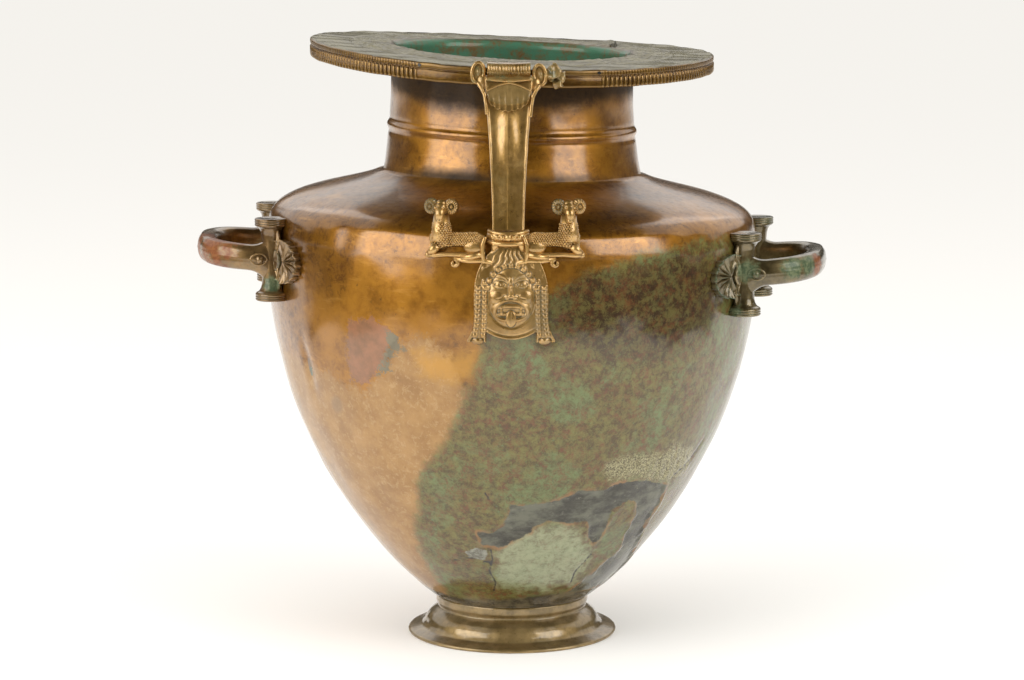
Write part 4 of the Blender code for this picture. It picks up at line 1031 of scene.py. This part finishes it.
def add_collar(shape):
    centre = on_wall(np.array(0.0), np.array(STRAP_BASE_HEIGHT - 0.0035), 0.0030)
    half = STRAP_WIDTH * 0.6
    for down, wide, thick in ((0.0032, 1.0, 0.0016), (-0.0034, 1.08, 0.0017)):
        turns = np.linspace(radians(192), radians(348), 30)
        path = np.stack([half * wide * np.cos(turns), centre[1] + 0.004 + 0.0105 * np.sin(turns),
                         centre[2] + down - 0.0012 * np.sin(turns) ** 2], -1)
        shape.tube(path, thick, sides=10)
    turns = np.linspace(radians(190), radians(350), 60)
    band = np.stack([half * 0.98 * np.cos(turns), centre[1] + 0.004 + 0.0098 * np.sin(turns), centre[2] + 0 * turns], -1)
    shape.tube(band, 0.0022, 0.0030, sides=12)
    for i in range(9):
        turn = radians(200 + 140 * i / 8)
        size = 0.0050 if i == 4 else 0.0037
        place = (half * 0.98 * cos(turn), centre[1] + 0.004 + 0.0121 * sin(turn), centre[2])
        shape.ball(place, (size, size, size), None, 8, 12)
    for side in (-1, 1):
        path = [on_wall(np.array(side * 0.008), np.array(0.3055), 0.0042), on_wall(np.array(side * 0.0085), np.array(0.302), 0.0036),
                on_wall(np.array(side * 0.0098), np.array(0.2975), 0.0022)]
        shape.tube(np.array(path), [0.0030, 0.0026, 0.0016], sides=12, up=(0, -1, 0))


def add_ram(shape, side):
    """Recumbent ram: rump at the collar, head turned out to face the viewer."""
    level = RAM_HEIGHT
    start, end = RAM_START, RAM_END
    head = RAM_HEAD_HEIGHT
    tilt = Matrix.Rotation(side * (start + end) / 2 / BELLY_RADIUS, 4, "Z")

    def at(across, height, proud):
        return along_wall(side * across, height, proud)

    def outward(place):
        return np.array([place[0], place[1], 0]) / np.hypot(place[0], place[1])

    trunk = np.array([at(start + 0.0010, level + 0.0010, 0.0012), at(start + 0.007, level + 0.0022, 0.0016),
                      at(start + 0.016, level + 0.0024, 0.0014), at(start + 0.025, level + 0.0024, 0.0014),
                      at(end - 0.0105, level + 0.0022, 0.0014), at(end - 0.0035, level + 0.0010, 0.0010)])
    fine = np.linspace(0, len(trunk) - 1, 44)
    path = np.stack([np.interp(fine, np.arange(len(trunk)), trunk[:, i]) for i in range(3)], -1)
    girth = np.interp(fine, np.arange(len(trunk)), [0.0034, 0.0052, 0.0045, 0.0046, 0.0068, 0.0048])
    shape.tube(path, girth * 0.72, girth, sides=30, up=(0, 0, 1))

    # Fleece of small granules over the trunk, the chest and the neck
    random = np.random.default_rng(70 + side)

    def granule(place, across=0.0014):
        size = across * (0.85 + 0.3 * random.random())
        shape.ball(place, (size, size, size), None, 5, 6)

    for row in range(10):
        for step in range(27):
            spot = (step + 0.5 * (row % 2) + 0.4) / 27.6 * (len(path) - 1)
            centre = np.array([np.interp(spot, np.arange(len(path)), path[:, i]) for i in range(3)])
            size = np.interp(spot, np.arange(len(path)), girth)
            turn = radians(-44 + 15 * row)
            granule(centre + outward(centre) * size * 0.73 * cos(turn) + np.array([0, 0, size * sin(turn)]))
    neck = np.array([at(end - 0.0104, level + 0.0010, 0.0014), at(end - 0.0100, level + 0.0090, 0.0010),
                     at(end - 0.0100, head - 0.0030, 0.0012)])
    shape.tube(neck, [0.0074, 0.0064, 0.0050], sides=24, up=(0, -1, 0))
    for row in range(11):
        high = level - 0.001 + 0.0014 * row
        wide = np.interp(high, neck[:, 2], [0.0074, 0.0064, 0.0050])
        for step in range(10):
            turn = radians(-76 + 16.5 * step + 8 * (row % 2))
            granule(at(end - 0.0101 + side * wide * sin(turn), high, 0.0011 + wide * cos(turn)))

    # Haunch, legs and the bar they lie on
    shape.ball(at(start + 0.008, level - 0.0018, 0.0026), (0.0150, 0.0066, 0.0112), tilt, 14, 20)
    bracket = [at(0.0128, level + 0.0050, 0.0052), at(0.0146, level, 0.0066), at(0.0148, level - 0.0065, 0.0058),
               at(0.0134, level - 0.0125, 0.0044)]
    shape.tube(spread_out(np.array(bracket), 0.001), 0.0013, sides=10, up=(0, -1, 0))
    shape.tube(np.array([at(start + 0.003, level - 0.0066, 0.0042), at(start + 0.010, level - 0.0082, 0.0050),
                         at(start + 0.0170, level - 0.0092, 0.0044)]), [0.0026, 0.0022, 0.0015], sides=12)
    shape.tube(np.array([at(end - 0.007, level - 0.0010, 0.0055), at(end - 0.004, level - 0.0048, 0.0060),
                         at(end - 0.0014, level - 0.0066, 0.0050)]), [0.0036, 0.0028, 0.0018], sides=12)
    bar = np.array([at(start + 0.001, level - 0.0060, 0.0030), at(start + 0.012, level - 0.0074, 0.0034),
                    at(end - 0.014, level - 0.0072, 0.0034), at(end - 0.006, level - 0.0078, 0.0036),
                    at(end - 0.0016, level - 0.0078, 0.0032)])
    shape.tube(bar, [0.0024, 0.0022, 0.0021, 0.0023, 0.0024], [0.0020, 0.0017, 0.0016, 0.0019, 0.0021], sides=14)
    shape.ball(bar[-1], (0.0052, 0.0046, 0.0046), None, 10, 14)

    # Tendril from the top of the mask that ends in a scroll under the bar
    turns = np.linspace(0, radians(330), 30)
    size = 0.0030 * (1 - turns / radians(440))
    hook = [at(0.0335 + a * cos(t + 1.6), level - 0.0130 + a * sin(t + 1.6), 0.0030) for a, t in zip(size, turns)]
    lead = [at(0.0080, level - 0.0125, 0.0046), at(0.0150, level - 0.0108, 0.0042), at(0.0240, level - 0.0112, 0.0034)]
    tendril = np.array(lead + hook)
    shape.tube(tendril, np.linspace(0.0018, 0.0009, len(tendril)), sides=10, up=(0, -1, 0))

    # Head with a long muzzle between two ridged horns
    centre = at(end - 0.0100, head + 0.0010, 0.0034)
    out = outward(centre)
    right = np.array([-out[1], out[0], 0])
    up = np.array([0, 0, 1.0])
    facing = Matrix((right, -out, up)).transposed().to_4x4()
    shape.ball(centre, (0.0088, 0.0105, 0.0098), facing, 16, 22)
    shape.ball(centre + up * 0.0032 - out * 0.0005, (0.0072, 0.0072, 0.0056), facing, 12, 18)
    muzzle = np.array([centre + out * 0.0024 + up * 0.0006, centre + out * 0.0042 - up * 0.0032, centre + out * 0.0047 - up * 0.0072])
    shape.tube(muzzle, [0.0036, 0.0031, 0.0025], [0.0032, 0.0028, 0.0022], sides=18, up=tuple(out))
    shape.ball(muzzle[-1] - up * 0.0002, (0.0048, 0.0046, 0.0036), facing, 10, 16)
    for ear in (-1, 1):
        shape.ball(centre + right * ear * 0.0026 + out * 0.0047 + up * 0.0010, (0.0021, 0.0014, 0.0016), facing, 8, 10)
        shape.ball(muzzle[-1] + right * ear * 0.0009 + out * 0.0021, (0.0007, 0.0006, 0.0007), facing, 6, 8, 1.0)
        hub = centre + right * ear * 0.0066 + up * 0.0014 - out * 0.0004
        turns = np.linspace(0, 2 * pi, 90, endpoint=False)
        horn = []
        for reach in np.linspace(0.04, 1, 16):
            ridge = 0.00055 * np.abs(np.sin(turns * 8)) * smooth_step(reach * 2.2)
            swell = 0.0030 * (1 - reach ** 2) ** 0.5 + ridge - 0.0016 * np.exp(-((reach - 0.32) / 0.1) ** 2)
            flat = right * ear
            grid = (flat * (0.0047 * reach * np.cos(turns))[:, None] + up * (0.0054 * reach * np.sin(turns))[:, None]
                    + (out * 0.93 + flat * 0.35) * swell[:, None])
            horn.append(hub + grid)
        horn.append(hub + (horn[-1] - hub) * 0.96 - out * 0.0030)
        shape.sheet(np.stack(horn), caps=True)


def make_vertical_handle():
    shape = Shape()
    columns = np.linspace(-28.6, 28.6, 190)
    rows = np.linspace(-4.6, MASK_HEIGHT / MM + 0.4, 216)[::-1]
    x, z = np.meshgrid(columns, rows)
    deep = mask_relief(x, z)
    soft = deep.copy()
    soft[1:-1, 1:-1] = (deep[1:-1, 1:-1] * 4 + deep[:-2, 1:-1] + deep[2:, 1:-1] + deep[1:-1, :-2] + deep[1:-1, 2:]) / 8
    soft = np.where(deep < 0, deep, soft)
    mask = on_wall(x * MM + MASK_SHIFT, MASK_BOTTOM + z * MM, soft * MM)
    shape.sheet(mask, wrap=False)
    add_strap(shape)
    add_head(shape)
    add_collar(shape)
    add_ram(shape, -1)
    add_ram(shape, 1)
    look = casting_material("vertical_handle_look", (0.5, 0.3, 0.095), (0.31, 0.175, 0.04), (0.06, 0.075, 0.042),
                            rough=0.32)
    points = np.concatenate(shape.points)
    green = 0.42 * smooth_step((points[:, 2] - 0.404) / 0.004)
    return shape.build("vertical_handle", look, {"green": green})


# Side handles

def add_spool(shape, centre):
    """Upright spool between two discs with grooved edges."""
    half = SPOOL_LENGTH / 2
    upper = [(0.0002, half - 0.0010), (0.0060, half - 0.0008), (0.0100, half - 0.0004), (0.0113, half - 0.0006),
             (0.0118, half - 0.0014), (0.0118, half - 0.0020), (0.0112, half - 0.0024), (0.0118, half - 0.0028),
             (0.0118, half - 0.0036), (0.0112, half - 0.0040), (0.0118, half - 0.0044), (0.0117, half - 0.0054),
             (0.0110, half - 0.0062), (0.0092, half - 0.0072), (0.0080, half - 0.0092), (0.0073, half - 0.0120),
             (0.0069, half - 0.0160), (0.0068, 0.0050)]
    outline = upper + [(radius, -height) for radius, height in reversed(upper)]
    shape.turned(rounded(outline, 0.0005, 1), centre, 64)


def add_fan(shape, angle, end, level, seed):
    """Palmette on the wall: ridged petals with lifted scalloped ends, a flat heart and two strips."""
    radius = float(wall_radius(level))
    spread = radians(118)
    middle = FAN_LENGTH * 0.3
    side = np.linspace(-1, 1, 261)
    turn = side * spread
    petal = np.abs(np.cos(side * pi * FAN_PETALS / 2 + (FAN_PETALS % 2) * pi / 2)) ** 0.7
    rows = []

    def place(along, up, proud):
        """Point at a distance along the wall from the spool, away from the bar."""
        where = angle + end * (FAN_START + along) / radius
        return np.stack([(radius + proud) * np.cos(where), (radius + proud) * np.sin(where), level + up], -1)

    for reach in np.linspace(0.02, 1, 38):
        length = reach * (0.9 + 0.1 * petal)
        long = middle + (FAN_LENGTH - middle) * length * np.cos(turn)
        high = FAN_HEIGHT / 2 * 1.06 * length * np.sin(turn)
        valley = 0.0025 * (1 - petal) * smooth_step(reach * 2.5)
        proud = 0.0042 + 0.0016 * reach ** 4 - valley - 0.0007 * np.sin(reach * pi)
        crest = 0.00045 * np.exp(-((petal - 1) / 0.05) ** 2) * smooth_step(reach * 2)
        rows.append(place(long, high, proud + crest))
    for drop in (0.0012, 0.0052):
        under = rows[37].copy()
        under[:, :2] *= (radius + 0.0052 - drop) / (radius + 0.0052)
        rows.append(under)
    shape.sheet(shaken(np.stack(rows), 0.00006, 0.006, seed), wrap=False)

    # Flat heart with crossed ridges, between the bar and the petals
    heart = np.linspace(0, 2 * pi, 48, endpoint=False)
    grid = []
    for reach in np.linspace(1, 0.03, 14):
        diamond = 1 / (np.abs(np.cos(heart)) ** 1.4 + np.abs(np.sin(heart)) ** 1.4) ** (1 / 1.4)
        along = middle * 0.1 - 0.0015 + 0.0062 * reach * diamond * np.cos(heart)
        up = 0.0078 * reach * diamond * np.sin(heart)
        cross = 0.0006 * np.exp(-(np.sin(2 * heart) / 0.25) ** 2) * smooth_step(reach * 3)
        proud = 0.0050 + 0.0012 * (1 - reach ** 2) + cross * (reach < 0.95) - 0.0030 * (reach > 0.98)
        grid.append(place(along, up, proud))
    shape.sheet(np.stack(grid), caps=True)

    # Strips that run from the heart to both discs, and the small scrolls beside them
    for up in (-1, 1):
        for shift, wide in ((0.0, 0.0016), (0.0042, 0.0013)):
            share = np.linspace(0, 1, 24)
            along = -0.0030 + shift * (1 - share) + 0.0030 * np.sin(share * pi)
            strip = place(along, up * (0.0050 + 0.0190 * share), 0.0040 - 0.0012 * share)
            shape.tube(strip, wide * (1 - 0.35 * share), sides=10)
        turns = np.linspace(0, radians(330), 34)
        size = 0.0024 * (1 - turns / radians(480))
        scroll = place(0.0030 + size * np.cos(turns), up * (0.0125 + size * np.sin(turns)), 0.0030)
        shape.tube(scroll, np.linspace(0.0011, 0.0007, 34), sides=10)


def add_loop(shape, reach_in, level):
    """Bar from one spool out and back to the other, with ridges, spreading onto the spools at its ends."""
    half = SPOOL_SPACING / 2
    bend = LOOP_REACH - LOOP_BAR_WIDTH / 2 - reach_in
    angle = np.linspace(-pi / 2, pi / 2, 150)
    out = np.clip(np.cos(angle), 0, 1) ** 0.62
    along = half * np.abs(np.sin(angle)) ** 0.8 * np.sign(np.sin(angle) + 1e-9)
    path = np.stack([reach_in + bend * out, along, level + LOOP_LIFT * out], -1)
    gaps = np.concatenate([[0], np.cumsum(np.linalg.norm(np.diff(path, axis=0), axis=1))])
    even = np.linspace(0, gaps[-1], 190)
    path = np.stack([np.interp(even, gaps, path[:, i]) for i in range(3)], -1)
    for _ in range(4):
        path[1:-1] = (path[:-2] + 2 * path[1:-1] + path[2:]) / 4
    from_end = np.minimum(even, gaps[-1] - even)
    leg = np.clip(1 - from_end / 0.017, 0, 1)
    tall = LOOP_BAR_HEIGHT / 2 * (0.97 + 0.03 * np.clip(from_end / 0.03, 0, 1)) + 0.0110 * leg ** 2.4
    wide = LOOP_BAR_WIDTH / 2 * (1 - 0.1 * leg)
    turn = np.linspace(0, 2 * pi, 72, endpoint=False)
    boxy = (np.abs(np.cos(turn)) ** 2.5 + np.abs(np.sin(turn)) ** 2.5) ** (-1 / 2.5)
    facing = np.abs(np.angle(np.exp(1j * turn)))
    upper = np.abs(np.angle(np.exp(1j * (turn - radians(58)))))
    inner = np.abs(np.angle(np.exp(1j * (turn - radians(128)))))
    ridges = 0.035 * np.exp(-(facing / 0.09) ** 2) + 0.04 * np.exp(-(upper / 0.09) ** 2) + 0.03 * np.exp(-(inner / 0.09) ** 2)
    shape.tube(path, wide, tall, sides=72, outline=boxy * (0.985 + ridges))


def make_side_handle(name, angle, level, look, seed, patches):
    """Patches are (field, x, y, z, size) spots of other patina on the finished handle."""
    shape = Shape()
    half = SPOOL_SPACING / 2
    radius = float(wall_radius(level)) + SPOOL_STANDOFF
    reach_in = (radius ** 2 - half ** 2) ** 0.5
    spool_angle = float(np.arctan2(half, reach_in))
    add_loop(shape, reach_in, level)
    for end in (-1, 1):
        add_spool(shape, (reach_in, end * half, level))
        add_fan(shape, end * spool_angle, end, level, seed + end)

        # Round boss in a raised frame like an eye, at the foot of the ridge along the bar
        face = end * (half + LOOP_BAR_WIDTH / 2 - 0.0006)
        place = np.array([reach_in + 0.0085, face, level + 0.0006])
        shape.ball(place, (0.0056, 0.0050, 0.0056), None, 14, 20)
        turns = np.linspace(0, 2 * pi, 40)
        frame_ring = place + np.stack([0.0058 * np.cos(turns) + 0.0006, 0 * turns - end * 0.0004,
                                       0.0040 * np.sin(turns) * np.abs(np.sin(turns)) ** 0.3], -1)
        shape.tube(frame_ring, 0.0008, sides=8, up=(0, 1, 0))
        # The pit round the boss is marked for the deposit and painted shade of the hollows
        pit = [place + np.stack([0.0054 * r * np.cos(turns[:-1]), 0 * turns[:-1] - end * 0.0002,
                                 0.0036 * r * np.sin(turns[:-1])], -1) for r in (1, 0.4)]
        shape.sheet(np.stack(pit), tint=0.8)
    shape.placed(Matrix.Rotation(angle, 4, "Z"))
    points = np.concatenate(shape.points)
    fields = {"red": np.zeros(len(points)), "green": np.zeros(len(points))}
    for field, x, y, z, size in patches:
        off = np.linalg.norm((points - np.array([x, y, z])) / size, axis=1)
        fields[field] = np.maximum(fields[field], np.exp(-off ** 2))
    return shape.build(name, look, fields)


# Studio

def studio():
    scene = bpy.context.scene
    scene.view_settings.view_transform = "Standard"
    scene.view_settings.look = "None"
    world = bpy.data.worlds.new("studio")
    scene.world = world
    world.use_nodes = True
    back = world.node_tree.nodes["Background"]
    back.inputs["Color"].default_value = (1.0, 0.98, 0.94, 1)
    back.inputs["Strength"].default_value = 0.95
    world.cycles_visibility.glossy = False

    floor_look = bpy.data.materials.new("floor_look")
    floor_look.use_nodes = True
    shader = floor_look.node_tree.nodes["Principled BSDF"]
    shader.inputs["Base Color"].default_value = (0.96, 0.955, 0.945, 1)
    shader.inputs["Roughness"].default_value = 0.9
    shader.inputs["Specular IOR Level"].default_value = 0.0
    bpy.ops.mesh.primitive_plane_add(size=40, location=(0, 0, -0.0002))
    floor = bpy.context.object
    floor.name = "floor"
    floor.data.materials.append(floor_look)

    def softbox(name, turn, rise, reach, width, height, radiance, lights_floor=True):
        """Lit panel that faces the jar from a direction, in degrees round from the front and up."""
        light = bpy.data.lights.new(name, "AREA")
        light.shape = "RECTANGLE"
        light.size = width
        light.size_y = height
        light.energy = radiance * pi * width * height
        light.color = (1, 0.98, 0.95)
        aim = Vector((0, 0, 0.25))
        flat = reach * cos(radians(rise))
        place = aim + Vector((flat * sin(radians(turn)), -flat * cos(radians(turn)), reach * sin(radians(rise))))
        item = bpy.data.objects.new(name, light)
        item.location = place
        item.rotation_euler = (aim - place).to_track_quat("-Z", "Y").to_euler()
        item.visible_camera = False
        item.visible_diffuse = lights_floor
        scene.collection.objects.link(item)

    softbox("left_softbox", -56, 19, 2.2, 1.9, 1.7, 3.5)
    softbox("right_softbox", 56, 24, 2.2, 1.4, 1.4, 4.0)
    for turn in (-128, -180, 128):
        softbox("white_card_%d" % abs(turn + 200), turn, 34, 4.0, 3.8, 3.2, 0.95, lights_floor=False)

    # Dark surroundings of the white floor, seen only in the bronze's reflections
    dark_look = bpy.data.materials.new("dark_surroundings_look")
    dark_look.use_nodes = True
    shader = dark_look.node_tree.nodes["Principled BSDF"]
    shader.inputs["Base Color"].default_value = (0.03, 0.025, 0.02, 1)
    shader.inputs["Roughness"].default_value = 1.0
    shader.inputs["Specular IOR Level"].default_value = 0.0
    turn = np.linspace(radians(-105), radians(105), 60)[None, :]
    reach = np.array([0.85, 7.0])[:, None]
    ring = Shape()
    ring.sheet(np.stack([reach * np.sin(turn), -reach * np.cos(turn), 0.01 + 0 * reach * turn], -1), wrap=False)
    mesh = bpy.data.meshes.new("dark_surroundings")
    mesh.from_pydata(np.concatenate(ring.points).tolist(), [], ring.faces)
    mesh.materials.append(dark_look)
    dark = bpy.data.objects.new("dark_surroundings", mesh)
    scene.collection.objects.link(dark)
    dark.visible_camera = False
    dark.visible_diffuse = False
    dark.visible_shadow = False

    camera = bpy.data.cameras.new("camera")
    camera.lens = 106.6
    camera.sensor_width = 36
    camera.clip_start = 0.05
    camera.clip_end = 100
    item = bpy.data.objects.new("camera", camera)
    item.location = (0.030, -2.1598, 0.533)
    item.rotation_euler = (Vector((0, 0, 0.2126)) - item.location).to_track_quat("-Z", "Y").to_euler()
    scene.collection.objects.link(item)
    scene.camera = item


make_body()
make_foot()
make_mouth()
make_vertical_handle()
left_look = casting_material("left_handle_look", (0.27, 0.165, 0.06), (0.15, 0.08, 0.026), (0.11, 0.09, 0.04), rough=0.32)
right_look = casting_material("right_handle_look", (0.22, 0.165, 0.075), (0.1, 0.075, 0.03), (0.06, 0.1, 0.05), rough=0.34)
make_side_handle("side_handle_left", pi + LEFT_HANDLE_TURN, LEFT_HANDLE_HEIGHT, left_look, 81,
                 [("red", -0.198, -0.054, 0.284, 0.025), ("red", -0.214, -0.034, 0.282, 0.02),
                  ("green", -0.166, -0.075, 0.262, 0.008)])
make_side_handle("side_handle_right", -RIGHT_HANDLE_TURN, RIGHT_HANDLE_HEIGHT, right_look, 91,
                 [("green", 0.196, -0.085, 0.276, 0.012), ("green", 0.208, -0.076, 0.278, 0.011),
                  ("red", 0.214, -0.062, 0.276, 0.010), ("green", 0.150, -0.093, 0.246, 0.012),
                  ("green", 0.163, -0.088, 0.274, 0.010)])
studio()
